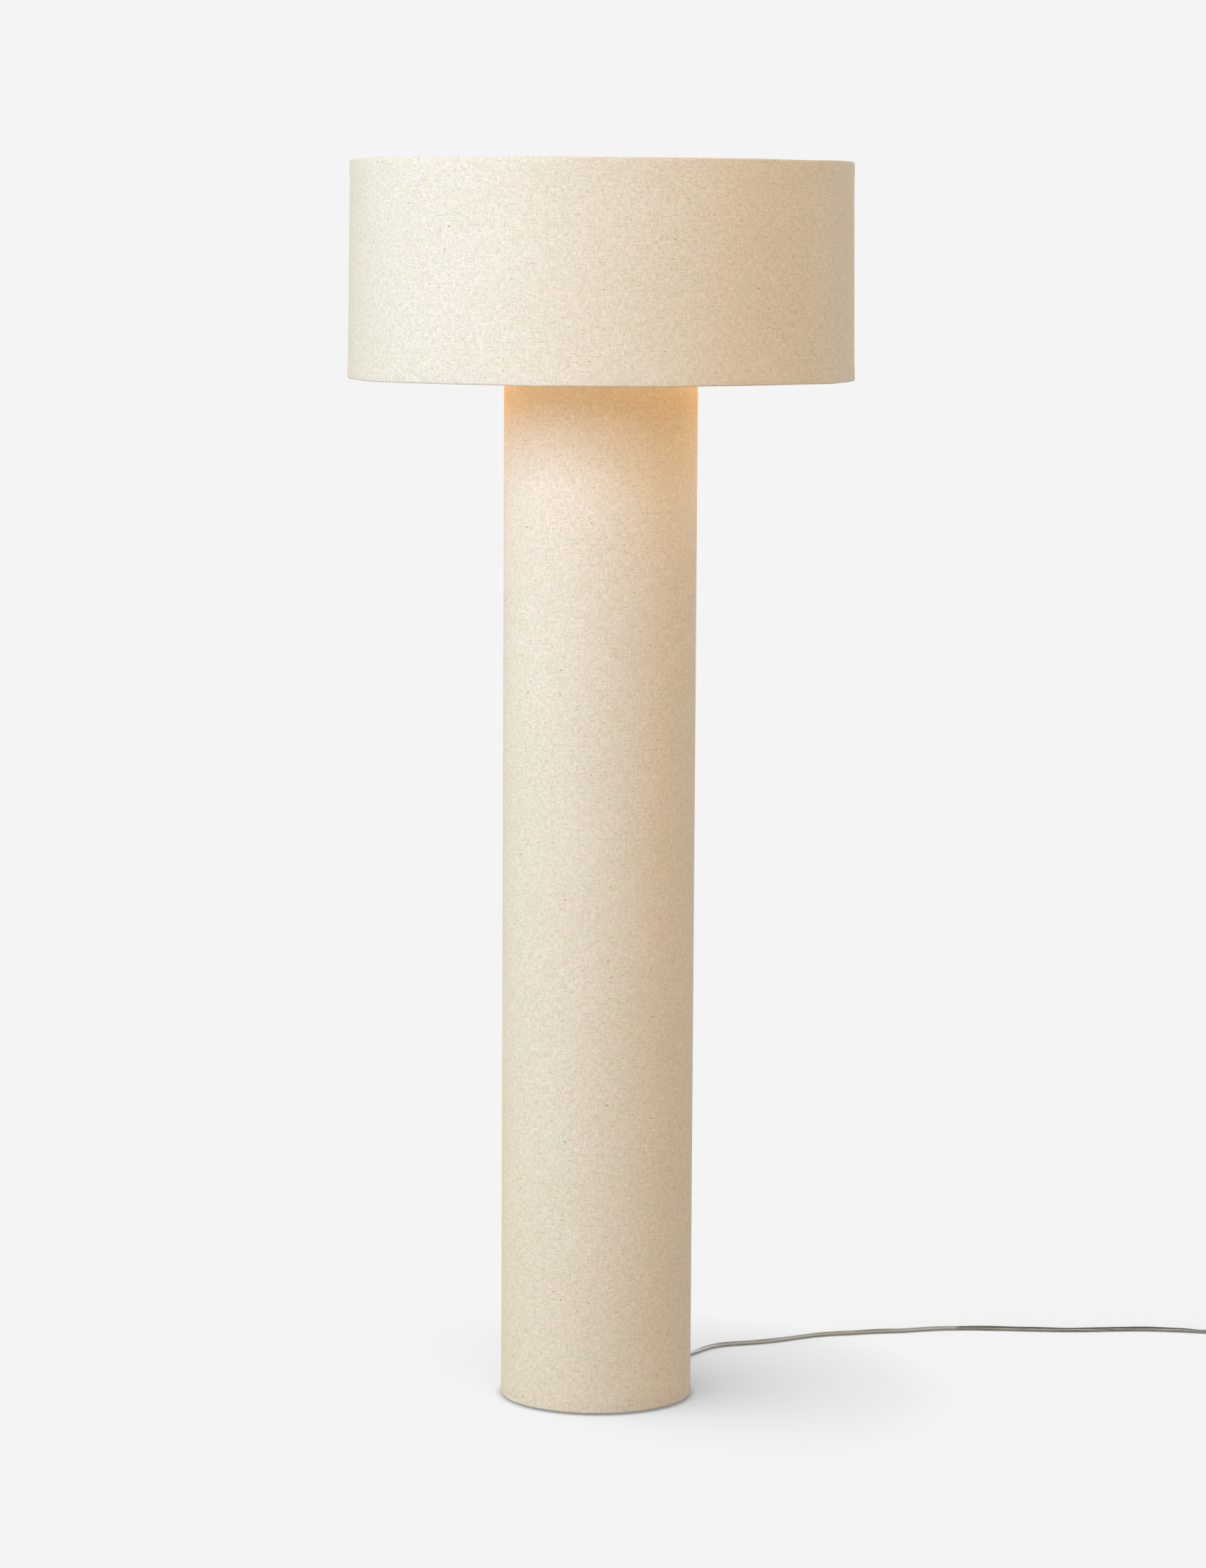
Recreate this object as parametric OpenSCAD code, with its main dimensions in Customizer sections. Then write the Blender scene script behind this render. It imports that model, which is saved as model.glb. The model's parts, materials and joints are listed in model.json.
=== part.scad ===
// Column floor lamp: a drum shade of natural linen over a linen-covered column.
// Millimetres, +Z up. The origin is the centre of the footprint, on the floor.
// The view in the photograph looks along +Y, with +X to the right.

/* [Column] */
// Outer diameter of the column over its linen
column_d = 236; // [200:1:280]
// Height of the linen-covered column, from its lower edge to its upper edge
column_h = 1289; // [900:1:1400]
// Wall of the wound fibreboard tube
tube_wall = 5; // [3:0.5:8]
// Thickness of the backed linen cloth
linen_t = 0.8; // [0.5:0.1:1.2]
// Depth of the linen turned in at the column's two ends
column_hem = 12; // [8:1:14]

/* [Base] */
// Thickness of the felt under the lamp
felt_t = 2; // [1:0.5:4]
// How far the felt stays inside the edge of the bottom disc
felt_inset = 4; // [2:1:10]
// Thickness of the plywood discs that plug the tube
disc_t = 12; // [9:1:15]
// Space left round the cast iron weight, inside the tube
weight_gap = 12.2; // [4:0.1:20]
// Height of the cast iron weight
weight_h = 36; // [34:1:60]
// Diameter of the hollow under the weight
hollow_d = 90; // [70:1:110]
// Iron left above the hollow
web_t = 10; // [6:1:12]
// Distance of the weight's bolts from its rim
bolt_inset = 25; // [12:1:34]
// Number of weight bolts
bolt_count = 3; // [3:1:6]
// Shank diameter of the weight bolts
bolt_d = 6; // [5:0.5:8]
// How far the weight bolts reach into the iron
bolt_grip = 14; // [10:1:20]

/* [Pole and cluster] */
// Outer diameter of the threaded pole
pole_d = 13.2; // [12:0.1:16]
// Bore of the pole, which the wires pass through
pole_bore_d = 9.6; // [8:0.1:10]
// Thickness of the steel plate that closes the column
plate_t = 1.5; // [1:0.5:3]
// Length of the tube between the column's nut and the cluster
neck_h = 28.5; // [15:0.5:45]
// Diameter of that tube
neck_d = 20; // [17:0.5:26]
// Diameter of the cluster cup that carries the two sockets
cluster_d = 48; // [42:1:60]
// Height of the cluster cup
cluster_h = 28; // [26:1:36]
// Wall of the cluster cup
cluster_wall = 2; // [1.5:0.5:3]
// Rise of the cluster's domed lid
lid_h = 6; // [4:1:10]
// Outer diameter of the post that carries the shade
post_d = 9.6; // [9:0.1:12]

/* [Sockets and bulbs] */
// Outer diameter of the two bent socket arms
arm_d = 9.6; // [8:0.1:10]
// Straight length of an arm outside the cluster
arm_reach = 8; // [5:1:20]
// Bend radius of an arm
arm_bend_r = 20; // [15:1:30]
// Angle of the sockets above level
arm_rise = 30; // [20:1:35]
// Outer diameter of a socket shell
socket_d = 33; // [32:0.5:38]
// Length of a socket shell
socket_len = 36; // [34:1:44]
// Outer diameter of a bulb's screw base
bulb_base_d = 26; // [26:0.1:26.6]
// Greatest diameter of a bulb's glass
bulb_d = 60; // [45:1:66]
// Length of a bulb from its contact to its tip
bulb_len = 110; // [95:1:118]

/* [Shade] */
// Diameter over the linen at the shade's bottom edge
shade_d = 616; // [500:1:680]
// How far the shade's wall leans in from its bottom edge to its top edge
shade_taper = 3; // [0:0.5:20]
// Height of the shade
shade_h = 263; // [240:1:340]
// How far the shade's lower edge hangs below the top of the column
shade_drop = 30; // [10:1:60]
// How far the spider's hub sits below the shade's top edge
spider_drop = 46; // [40:1:70]
// Thickness of the stiff white liner behind the linen
liner_t = 0.8; // [0.5:0.1:1.5]
// Diameter of the wire in the shade's rings
ring_wire_d = 4; // [3:0.5:5]
// Diameter of the spider's arms
spider_wire_d = 3.4; // [2.4:0.2:3.6]
// Number of spider arms
spider_count = 3; // [3:1:4]
// Depth of the linen turned in at the shade's edges
shade_hem = 14; // [10:1:25]
// Diameter of the stud that the finial screws on to
stud_d = 6.2; // [5:0.1:6.6]
// Height of the finial
finial_h = 26; // [24:1:32]
// Greatest diameter of the finial
finial_d = 20; // [16:1:26]

/* [Cord] */
// Direction in which the cord leaves the column, from +X
exit_angle = 58; // [40:1:70]
// Space between the strain relief's flange and the bottom disc
exit_clear = 1; // [0.5:0.5:3]
// Length of the tapered strain relief outside the linen
boot_len = 28; // [22:1:34]
// Width of the flat twin cord
cord_w = 7.2; // [6:0.1:7.6]
// Thickness of the flat twin cord
cord_t = 3.6; // [3:0.1:3.8]
// Diameter of the twisted pair inside the lamp
lead_d = 5; // [4:0.1:6]
// Number of turns side by side in the coil
coil_rows = 3; // [2:1:4]
// Number of layers of turns in the coil
coil_layers = 2; // [1:1:3]
// Diameter of the coil at the middle of its turns
coil_d = 82; // [72:1:86]
// Thickness of the tie round the coil
tie_t = 0.8; // [0.5:0.1:1.5]

/* [Foot switch and plug] */
// Length of the foot switch along the cord
switch_len = 64; // [58:1:80]
// Width of the foot switch
switch_w = 34; // [32:1:44]
// Height of the foot switch's lower shell
switch_base_h = 8; // [7:1:12]
// Height of the foot switch's cover
switch_cover_h = 12; // [11:1:16]
// Diameter of the foot switch's button
button_d = 18; // [14:1:20]
// Travel of the button
button_travel = 3; // [2:0.5:3.5]
// Length of the plug's moulded body
plug_len = 30; // [24:1:40]
// Width of the plug's moulded body
plug_w = 24; // [22:1:30]
// Height of the plug's moulded body
plug_h = 13; // [11:1:16]

/* [Fits] */
// Gap between pieces that are screwed, glued or seated together
fit = 0.1; // [0.05:0.05:0.2]
// Gap between pieces that turn or slide on each other
run = 0.3; // [0.2:0.05:0.4]

/* [Hidden] */
$fn = 96;

// Colours
linen_colour = [0.87, 0.82, 0.73];
liner_colour = [0.95, 0.94, 0.90];
wood_colour = [0.76, 0.62, 0.44];
board_colour = [0.62, 0.52, 0.40];
iron_colour = [0.18, 0.18, 0.19];
steel_colour = [0.68, 0.68, 0.70];
brass_colour = [0.72, 0.58, 0.30];
cream_colour = [0.90, 0.87, 0.80];
black_colour = [0.08, 0.08, 0.08];
glass_colour = [0.98, 0.95, 0.86];
cord_colour = [0.55, 0.54, 0.50];

// Column, from the floor up
column_z0 = felt_t;
column_z1 = column_z0 + column_h;
tube_r = column_d / 2 - linen_t;
tube_bore_r = tube_r - tube_wall;
disc_r = tube_bore_r - linen_t - fit;
weight_z0 = column_z0 + disc_t;
weight_z1 = weight_z0 + weight_h;
hollow_z1 = weight_z1 - web_t;
weight_r = tube_bore_r - weight_gap;
hollow_r = hollow_d / 2;
disc_hole_r = hollow_r - 10;
bolt_circle_r = weight_r - bolt_inset;
bolt_head_r = bolt_d;
bolt_head_h = 4;
bolt_head_sink = 0.5;

// Nuts and washers on the pole
pole_r = pole_d / 2;
pole_hole_r = pole_r + fit;
nut_af = 22;
nut_h = 7;
washer_r = 16;
washer_t = 2;
pole_tail = 2;
lower_washer_z = hollow_z1 - washer_t;
lower_nut_z = lower_washer_z - nut_h;
pole_z0 = lower_nut_z - pole_tail;
plate_z1 = column_z1 + plate_t;
upper_nut_z = plate_z1 + washer_t;
neck_z0 = upper_nut_z + nut_h;
plate_inset = 2;

// Cluster
cluster_z0 = neck_z0 + neck_h;
cluster_z1 = cluster_z0 + cluster_h;
cluster_r = cluster_d / 2;
cluster_floor = 3;
cluster_nut_h = 4;
pole_z1 = cluster_z0 + cluster_floor + cluster_nut_h + 1;
lid_z1 = cluster_z1 + lid_h;
lid_rim = 2;
post_nut_h = 4;
post_nut_af = 16;
post_r = post_d / 2;
post_tail = 1;
post_z0 = cluster_z1 - post_nut_h - post_tail;

// Shade and its seat
shade_z0 = column_z1 - shade_drop;
shade_z1 = shade_z0 + shade_h;
hub_t = 3;
hub_r = 14;
hub_z1 = shade_z1 - spider_drop;
hub_z0 = hub_z1 - hub_t;
seat_t = 3;
seat_r = 11;
seat_z1 = hub_z0 - fit;
seat_z0 = seat_z1 - seat_t;
stud_r = stud_d / 2;
stud_grip = 12;
stud_z0 = seat_z0 - stud_grip;
finial_washer_t = 1.5;
finial_washer_r = 10;
finial_z0 = hub_z1 + finial_washer_t + 2 * fit;
stud_z1 = finial_z0 + finial_h / 2;

// Socket arms: level out of the cup, then bent up to the socket's angle
arm_r = arm_d / 2;
arm_bore_r = arm_r - 1.6;
arm_z = cluster_z0 + cluster_h / 2 + 1;
arm_start = cluster_r - cluster_wall - 2;
arm_bend_x = cluster_r + arm_reach;
arm_end = [
    arm_bend_x + arm_bend_r * sin(arm_rise),
    arm_z + arm_bend_r * (1 - cos(arm_rise))];
arm_tip = 10;
arm_collar_r = 8;
arm_collar_t = 4;

// A socket's own lengths, along its axis from the start of its cap
cap_neck = 8;
cap_len = 18;
cap_wall = 1;
socket_r = socket_d / 2;
shell_wall = 0.6;
shell_s0 = cap_len - 5;
shell_s1 = shell_s0 + socket_len;
liner_wall = 0.8;
socket_liner_r = socket_r - shell_wall - fit;
core_r = socket_liner_r - liner_wall - fit;
core_s0 = cap_len + 1;
core_s1 = core_s0 + 8;
contact_r = 3;
contact_h = 2;
screw_wall = 0.5;
bulb_base_r = bulb_base_d / 2;
screw_bore_r = bulb_base_r + run;
bulb_s0 = core_s1 + contact_h + run;
bulb_tip_h = 1.5;
bulb_neck_s = shell_s1 + 1;
bulb_neck_r = bulb_base_r + 1;
bulb_r = bulb_d / 2;
bulb_s1 = bulb_s0 + bulb_len;
bulb_centre_s = bulb_s1 - bulb_r;
glass_wall = 1;

// Leads: along the base at the exit's height, up the pole, and out through the arms
flange_r = 9;
exit_z = column_z0 + max(disc_t, column_hem) + exit_clear + flange_r;
lead_bend_r = 12;
lead_z1 = pole_z1 + 3;
flange_t = 2;
bush_r = 6.5;
boot_r0 = 6;
boot_r1 = cord_w / 2 + 0.7;
groove_w = lead_d + 4;
groove_z1 = exit_z + lead_d / 2 + 2;
inner_flange_r1 = sqrt(tube_bore_r * tube_bore_r - flange_r * flange_r) - fit;
inner_flange_r0 = inner_flange_r1 - flange_t;
boot_tip_r = column_d / 2 + fit + flange_t + boot_len;
wire_cap_r = 3.5;
wire_cap_h = 9;
wire_cap_y = wire_cap_r + 0.5;
single_lead_r = 1.6;
single_lead_x =
    sqrt(wire_cap_r * wire_cap_r - (wire_cap_y - single_lead_r) * (wire_cap_y - single_lead_r)) + 2 * fit;

// Shade rings, liner and linen
ring_r = ring_wire_d / 2;
skin = linen_t + liner_t + 2 * fit;
ring_gap = (ring_r + fit) / cos(atan(shade_taper / shade_h));
ring_top_z = shade_z1 - linen_t - fit - ring_r;
ring_bottom_z = shade_z0 + linen_t + fit + ring_r;
ring_top_r = shade_r(ring_top_z) - skin + fit - ring_gap;
ring_bottom_r = shade_r(ring_bottom_z) - skin + fit - ring_gap;

// Foot switch: its centre on the floor, and its turn about Z
switch_at = [880, 333];
switch_floor = 2;
switch_shell = 2;
switch_h = switch_base_h + switch_cover_h;
cord_entry_z = switch_base_h / 2 + 0.5;
button_r = button_d / 2;
button_rise = button_travel + 1;
button_flange = 2;
button_edge = 1;
module_size = [26, 15, switch_h - switch_floor - 9];
stem_r = 3;
stem_lead = 1;
well_depth = button_travel + stem_lead + 1;
switch_screw_r = 1.5;
screw_head_r = 2.8;
screw_head_h = 1.5;
screw_sink = 3;
screw_grip = switch_cover_h - 4;
boss_r = 4;
switch_screw_x = switch_len / 2 - boss_r - switch_shell - 3;

// Coil of the length that is put away: its turns stand on edge, side by side and in layers
turn_gap = 0.2;
row_pitch = cord_t + turn_gap;
layer_pitch = cord_w + turn_gap;
coil_at = [975, 293];
coil_z0 = tie_t + fit;
coil_r0 = coil_d / 2 - coil_rows * row_pitch / 2;
coil_r1 = coil_d / 2 + coil_rows * row_pitch / 2;
coil_z1 = coil_z0 + coil_layers * layer_pitch;
outer_turn_r = coil_r1 - row_pitch / 2;
coil_in = [coil_at[0], coil_at[1] + outer_turn_r, coil_z0 + layer_pitch / 2];
coil_out = [coil_at[0], coil_at[1] - outer_turn_r, coil_z1 - layer_pitch / 2];
tie_w = 9;
tie_angle = 0;

// Plug, lying beside the coil with its blades towards -X
plug_nose = [898, 249];
plug_gap = 12.7;
blade_t = 1.5;
blade_len = 16;
blade_w = [6.3, 7.9];
blade_root = 4;

// Route of the cord from the strain relief to the foot switch: it comes down to the floor, runs
// along it, and rises into the switch. A floor point is [x, y], and the cord's middle is at lie.
lie = cord_t / 2 + fit;
out = [cos(exit_angle), sin(exit_angle)];
run_start = [(boot_tip_r + fit) * out[0], (boot_tip_r + fit) * out[1], exit_z];
run_lead_in = [(boot_tip_r + 14) * out[0], (boot_tip_r + 14) * out[1], exit_z - 1.6];
come_down = [[96, 153, 15.5], [107, 172, 7.5], [117.5, 190, 2.9]];
floor_points = [
    [129, 208], [142, 227], [158, 242], [180, 252], [206, 260], [232, 271], [258, 287],
    [282, 301], [309, 311], [340, 318], [370, 325.5], [400, 330.5], [426, 338], [456, 345.5],
    [490, 347.5], [530, 346], [570, 343], [610, 341], [650, 342], [690, 346], [730, 347], [770, 343]];
go_up = [[802, 336.5, 2.3], [828, 333.2, 4.1]];
run_end = [switch_at[0] - switch_len / 2 - fit, switch_at[1], cord_entry_z];
run_route = concat(
    [run_start, run_lead_in], come_down, [for (p = floor_points) [p[0], p[1], lie]], go_up, [run_end]);

// Route from the foot switch into the coil, and from the coil to the plug
tail_start = [switch_at[0] + switch_len / 2 + fit, switch_at[1], cord_entry_z];
tail_route = [tail_start, [926, 333.6, 4.3], [946, 336.6, 4.2], coil_in];
end_stop = [plug_nose[0] + plug_len + fit, plug_nose[1], plug_h / 2];
end_route = [coil_out, [955, 248.4, 9.6], [940, 249, 7.2], end_stop];

// ---------- helpers ----------

// A ring or washer standing on z
module washer(r_out, r_in, h, z = 0) {
    translate([0, 0, z])
        difference() {
            cylinder(r = r_out, h = h);
            translate([0, 0, -1]) cylinder(r = r_in, h = h + 2);
        }
}

// A hexagon nut of a width across flats, standing on z
module hex_nut(across, bore_r, h, z) {
    translate([0, 0, z])
        difference() {
            cylinder(r = across / 2 / cos(30), h = h, $fn = 6);
            translate([0, 0, -1]) cylinder(r = bore_r, h = h + 2);
        }
}

// A cylinder lying along the cord's exit direction, from one radius to another
module exit_rod(r, from_r, to_r, r2 = -1) {
    translate([0, 0, exit_z])
        rotate([0, 0, exit_angle])
            translate([from_r, 0, 0])
                rotate([0, 90, 0]) cylinder(r1 = r, r2 = r2 < 0 ? r : r2, h = to_r - from_r);
}

// Copies placed evenly round the Z axis
module around(count, radius, turn = 0) {
    for (i = [0 : count - 1])
        rotate([0, 0, turn + i * 360 / count]) translate([radius, 0, 0]) children();
}

// A flat outline with round ends, centred, long side along X
module stadium(len, width) {
    square([len - width, width], center = true);
    for (side = [-1, 1])
        translate([side * (len - width) / 2, 0]) circle(d = width);
}

// Side 1 of the cluster is +X and side 2 is -X
module on_side(side) {
    rotate([0, 0, side == 1 ? 0 : 180]) children();
}

// Moves a socket part, drawn along +Z, to its place on the end of an arm
module on_socket(side) {
    on_side(side)
        translate([arm_end[0], 0, arm_end[1]])
            rotate([0, 90 - arm_rise, 0])
                translate([0, 0, arm_tip - cap_neck]) children();
}

// ---------- bent rods and cords ----------

// A solid stretched over rings of points, one after another. A looped one joins its last ring to
// its first, and any other one has flat ends.
module stretched(rings, looped = false) {
    count = len(rings);
    sides = len(rings[0]);
    walls = [for (i = [0 : (looped ? count : count - 1) - 1]) for (k = [0 : sides - 1])
        let (j = (i + 1) % count, m = (k + 1) % sides)
        [i * sides + k, j * sides + k, j * sides + m, i * sides + m]];
    first_end = [for (k = [0 : sides - 1]) k];
    last_end = [for (k = [sides - 1 : -1 : 0]) (count - 1) * sides + k];
    faces = looped ? walls : concat(walls, [first_end, last_end]);
    polyhedron([for (ring = rings) each ring], faces, convexity = 10);
}

// Rings round a path in the XZ plane, whose points are [x, z, radius]
function rod_rings(path, sides) = [for (i = [0 : len(path) - 1])
    let (
        p = path[i],
        before = path[max(i - 1, 0)],
        after = path[min(i + 1, len(path) - 1)],
        along = unit([after[0] - before[0], after[1] - before[1]]))
    [for (k = [0 : sides - 1]) let (a = 360 * k / sides)
        [p[0] - along[1] * p[2] * cos(a), -p[2] * sin(a), p[1] + along[0] * p[2] * cos(a)]]];

// Path of a bend about centre [x, z] from one angle to another
function bend(centre, bend_r, from_a, to_a, steps, r) = [for (i = [0 : steps])
    let (a = from_a + (to_a - from_a) * i / steps)
    [centre[0] + bend_r * cos(a), centre[1] + bend_r * sin(a), r]];

// Path along a socket arm's centre, after its first points, to a tip beyond the bend
function arm_path(first, r, tip) = concat(
    first,
    bend([arm_bend_x, arm_z + arm_bend_r], arm_bend_r, -90, arm_rise - 90, 6, r),
    [[arm_end[0] + tip * cos(arm_rise), arm_end[1] + tip * sin(arm_rise), r]]);

// A point of the smooth curve through four route points, at t from 0 to 1 between the middle two
function curve_at(a, b, c, d, t) =
    0.5 * ((2 * b) + (c - a) * t + (2 * a - 5 * b + 4 * c - d) * t * t
        + (3 * b - a - 3 * c + d) * t * t * t);
function smooth(p, steps) = let (n = len(p)) concat(
    [for (i = [0 : n - 2]) for (k = [0 : steps - 1])
        curve_at(p[max(i - 1, 0)], p[i], p[i + 1], p[min(i + 2, n - 1)], k / steps)],
    [p[n - 1]]);
function unit(v) = v / norm(v);
function heading(p, i) = unit(p[min(i + 1, len(p) - 1)] - p[max(i - 1, 0)]);
// One oval ring round point i: the wide way lies level, across the heading
function oval(p, i, sides, w, h) =
    let (along = heading(p, i), across = unit(cross([0, 0, 1], along)), up = cross(along, across))
    [for (k = [0 : sides - 1]) let (a = 360 * k / sides)
        p[i] + across * (w / 2 * cos(a)) + up * (h / 2 * sin(a))];

// A closed oval tube through the route's points
module sweep(route, steps, w, h) {
    line = smooth(route, steps);
    stretched([for (i = [0 : len(line) - 1]) oval(line, i, 8, w, h)]);
}

// ---------- base ----------

module felt_pad() {
    color(black_colour) cylinder(r = disc_r - felt_inset, h = felt_t);
}

module bottom_disc() {
    color(wood_colour)
        difference() {
            translate([0, 0, column_z0]) cylinder(r = disc_r, h = disc_t);
            translate([0, 0, column_z0 - 1]) cylinder(r = disc_hole_r, h = disc_t + 2);
            around(bolt_count, bolt_circle_r) {
                translate([0, 0, column_z0 - 1]) cylinder(r = bolt_d / 2 + fit, h = disc_t + 2);
                translate([0, 0, column_z0 - 1])
                    cylinder(r = bolt_head_r + fit, h = bolt_head_sink + bolt_head_h + 1);
            }
        }
}

module base_weight() {
    color(iron_colour)
        difference() {
            translate([0, 0, weight_z0]) cylinder(r = weight_r, h = weight_h);
            translate([0, 0, weight_z0 - 1]) cylinder(r = hollow_r, h = hollow_z1 - weight_z0 + 1);
            translate([0, 0, weight_z0]) cylinder(r = pole_hole_r, h = weight_h + 1);
            rotate([0, 0, exit_angle])
                translate([0, -groove_w / 2, weight_z0 - 1])
                    cube([2 * weight_r, groove_w, groove_z1 - weight_z0 + 1]);
            around(bolt_count, bolt_circle_r)
                translate([0, 0, weight_z0 - 1]) cylinder(r = bolt_d / 2 + fit, h = bolt_grip + 2);
        }
}

module weight_bolts() {
    head_z = column_z0 + bolt_head_sink;
    color(steel_colour)
        around(bolt_count, bolt_circle_r) {
            translate([0, 0, head_z]) cylinder(r = bolt_head_r, h = bolt_head_h - fit);
            translate([0, 0, head_z]) cylinder(r = bolt_d / 2, h = weight_z0 + bolt_grip - head_z);
        }
}

module lower_washer() {
    color(steel_colour) washer(washer_r, pole_hole_r, washer_t - fit, lower_washer_z);
}

module lower_nut() {
    color(steel_colour) hex_nut(nut_af, pole_hole_r, nut_h - fit, lower_nut_z);
}

module pole() {
    color(steel_colour) washer(pole_r, pole_bore_d / 2, pole_z1 - pole_z0, pole_z0);
}

// ---------- column ----------

module column_tube() {
    color(board_colour)
        difference() {
            washer(tube_r, tube_bore_r, column_h - 2 * linen_t - 2 * fit, column_z0 + linen_t + fit);
            exit_rod(bush_r + fit, tube_bore_r - 2, tube_r + 2);
        }
}

// Half profile of the linen: down the outside, with both ends turned in round the tube
module column_linen() {
    hem_r0 = tube_bore_r - linen_t;
    color(linen_colour)
        difference() {
            rotate_extrude()
                difference() {
                    translate([hem_r0, column_z0]) square([column_d / 2 - hem_r0, column_h]);
                    translate([tube_bore_r - fit / 2, column_z0 + linen_t])
                        square([tube_wall + fit / 2, column_h - 2 * linen_t]);
                    translate([hem_r0 - 1, column_z0 + column_hem])
                        square([linen_t + 1, column_h - 2 * column_hem]);
                }
            exit_rod(bush_r + fit, tube_r - 2, column_d / 2 + 2);
        }
}

module top_disc() {
    color(wood_colour) washer(disc_r, pole_hole_r, disc_t, column_z1 - disc_t);
}

module top_plate() {
    color(cream_colour) washer(column_d / 2 - plate_inset, pole_hole_r, plate_t - fit, column_z1 + fit);
}

module upper_washer() {
    color(brass_colour) washer(washer_r, pole_hole_r, washer_t - fit, plate_z1);
}

module upper_nut() {
    color(brass_colour) hex_nut(nut_af, pole_hole_r, nut_h - fit, upper_nut_z);
}

module neck() {
    color(brass_colour) washer(neck_d / 2, pole_hole_r, neck_h - fit, neck_z0);
}

// ---------- cluster ----------

module cluster_cup() {
    color(brass_colour)
        difference() {
            translate([0, 0, cluster_z0]) cylinder(r = cluster_r, h = cluster_h);
            translate([0, 0, cluster_z0 + cluster_floor])
                cylinder(r = cluster_r - cluster_wall, h = cluster_h);
            translate([0, 0, cluster_z0 - 1]) cylinder(r = pole_hole_r, h = cluster_floor + 2);
            for (side = [1, 2])
                on_side(side)
                    translate([arm_start - 1, 0, arm_z])
                        rotate([0, 90, 0]) cylinder(r = arm_r + fit, h = cluster_r);
        }
}

module cluster_nut() {
    color(steel_colour) hex_nut(nut_af, pole_hole_r, cluster_nut_h, cluster_z0 + cluster_floor + fit);
}

// A domed lid with a rim that drops inside the cup
module cluster_lid() {
    lid_flat = 8;
    color(brass_colour)
        rotate_extrude()
            difference() {
                union() {
                    polygon([[0, cluster_z1 + fit], [cluster_r, cluster_z1 + fit],
                        [cluster_r, cluster_z1 + 1.5], [lid_flat, lid_z1], [0, lid_z1]]);
                    translate([0, cluster_z1 - lid_rim])
                        square([cluster_r - cluster_wall - fit, lid_rim + 1]);
                }
                square([post_r + fit, lid_z1 + 1]);
                translate([0, cluster_z1 - lid_rim - 1])
                    square([cluster_r - cluster_wall - 2, lid_rim + 1]);
            }
}

module post_nut() {
    color(steel_colour) hex_nut(post_nut_af, post_r + fit, post_nut_h - fit, cluster_z1 - post_nut_h);
}

module shade_post() {
    color(brass_colour) washer(post_r, stud_r + fit, seat_z0 - fit - post_z0, post_z0);
}

module post_stud() {
    color(brass_colour) translate([0, 0, stud_z0]) cylinder(r = stud_r, h = stud_z1 - stud_z0);
}

// A flanged collar on the post that the spider's hub sits on
module spider_seat() {
    color(brass_colour) washer(seat_r, stud_r + fit, seat_t, seat_z0);
}

// ---------- sockets and bulbs ----------

// A hollow bent arm with a collar that seats against the cup
module socket_arm(side) {
    collar_x0 = cluster_r + fit;
    collar_x1 = collar_x0 + arm_collar_t;
    outside = arm_path([
        [arm_start, arm_z, arm_r], [collar_x0, arm_z, arm_r], [collar_x0, arm_z, arm_collar_r],
        [collar_x1, arm_z, arm_collar_r], [collar_x1, arm_z, arm_r]], arm_r, arm_tip);
    inside = arm_path([[arm_start, arm_z, arm_bore_r]], arm_bore_r, arm_tip);
    bore_rings = rod_rings(inside, 24);
    color(brass_colour)
        on_side(side)
            stretched(concat(rod_rings(outside, 24),
                [for (i = [len(bore_rings) - 1 : -1 : 0]) bore_rings[i]]), looped = true);
}

// A bell-shaped cap, open towards the shell
module socket_cap(side) {
    flare = socket_r + cap_wall + fit;
    neck_r = arm_r + fit + 2;
    color(brass_colour)
        on_socket(side)
            rotate_extrude()
                difference() {
                    polygon([[0, 0], [neck_r, 0], [neck_r, cap_neck - 2], [flare - 3, cap_neck + 1],
                        [flare, cap_neck + 4], [flare, cap_len], [0, cap_len]]);
                    translate([0, -1]) square([arm_r + fit, cap_len + 2]);
                    polygon([[0, cap_neck + 1], [neck_r, cap_neck + 1],
                        [flare - cap_wall - 2, cap_neck + 3], [flare - cap_wall, cap_neck + 5],
                        [flare - cap_wall, cap_len + 1], [0, cap_len + 1]]);
                }
}

module socket_shell(side) {
    color(brass_colour) on_socket(side) washer(socket_r, socket_r - shell_wall, socket_len, shell_s0);
}

module socket_liner(side) {
    color(board_colour)
        on_socket(side)
            washer(socket_liner_r, socket_liner_r - liner_wall, shell_s1 - cap_len - 1, cap_len);
}

// The moulded core, its centre contact and two terminal screws
module socket_core(side) {
    terminal_r = 2.5;
    color(black_colour)
        on_socket(side) {
            translate([0, 0, core_s0]) cylinder(r = core_r, h = core_s1 - core_s0);
            translate([0, 0, core_s1]) cylinder(r = contact_r, h = contact_h);
            around(2, core_r - 2 * terminal_r, 90)
                translate([0, 0, core_s0 - 2]) cylinder(r = terminal_r, h = 2);
        }
}

module screw_shell(side) {
    color(brass_colour)
        on_socket(side)
            washer(screw_bore_r + screw_wall, screw_bore_r, shell_s1 - core_s1 - 3, core_s1 + fit);
}

module bulb_base(side) {
    color(steel_colour)
        on_socket(side) {
            translate([0, 0, bulb_s0]) cylinder(r = contact_r + 1, h = bulb_tip_h);
            translate([0, 0, bulb_s0 + bulb_tip_h])
                cylinder(r = bulb_base_r, h = bulb_neck_s - bulb_s0 - bulb_tip_h);
        }
}

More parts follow.
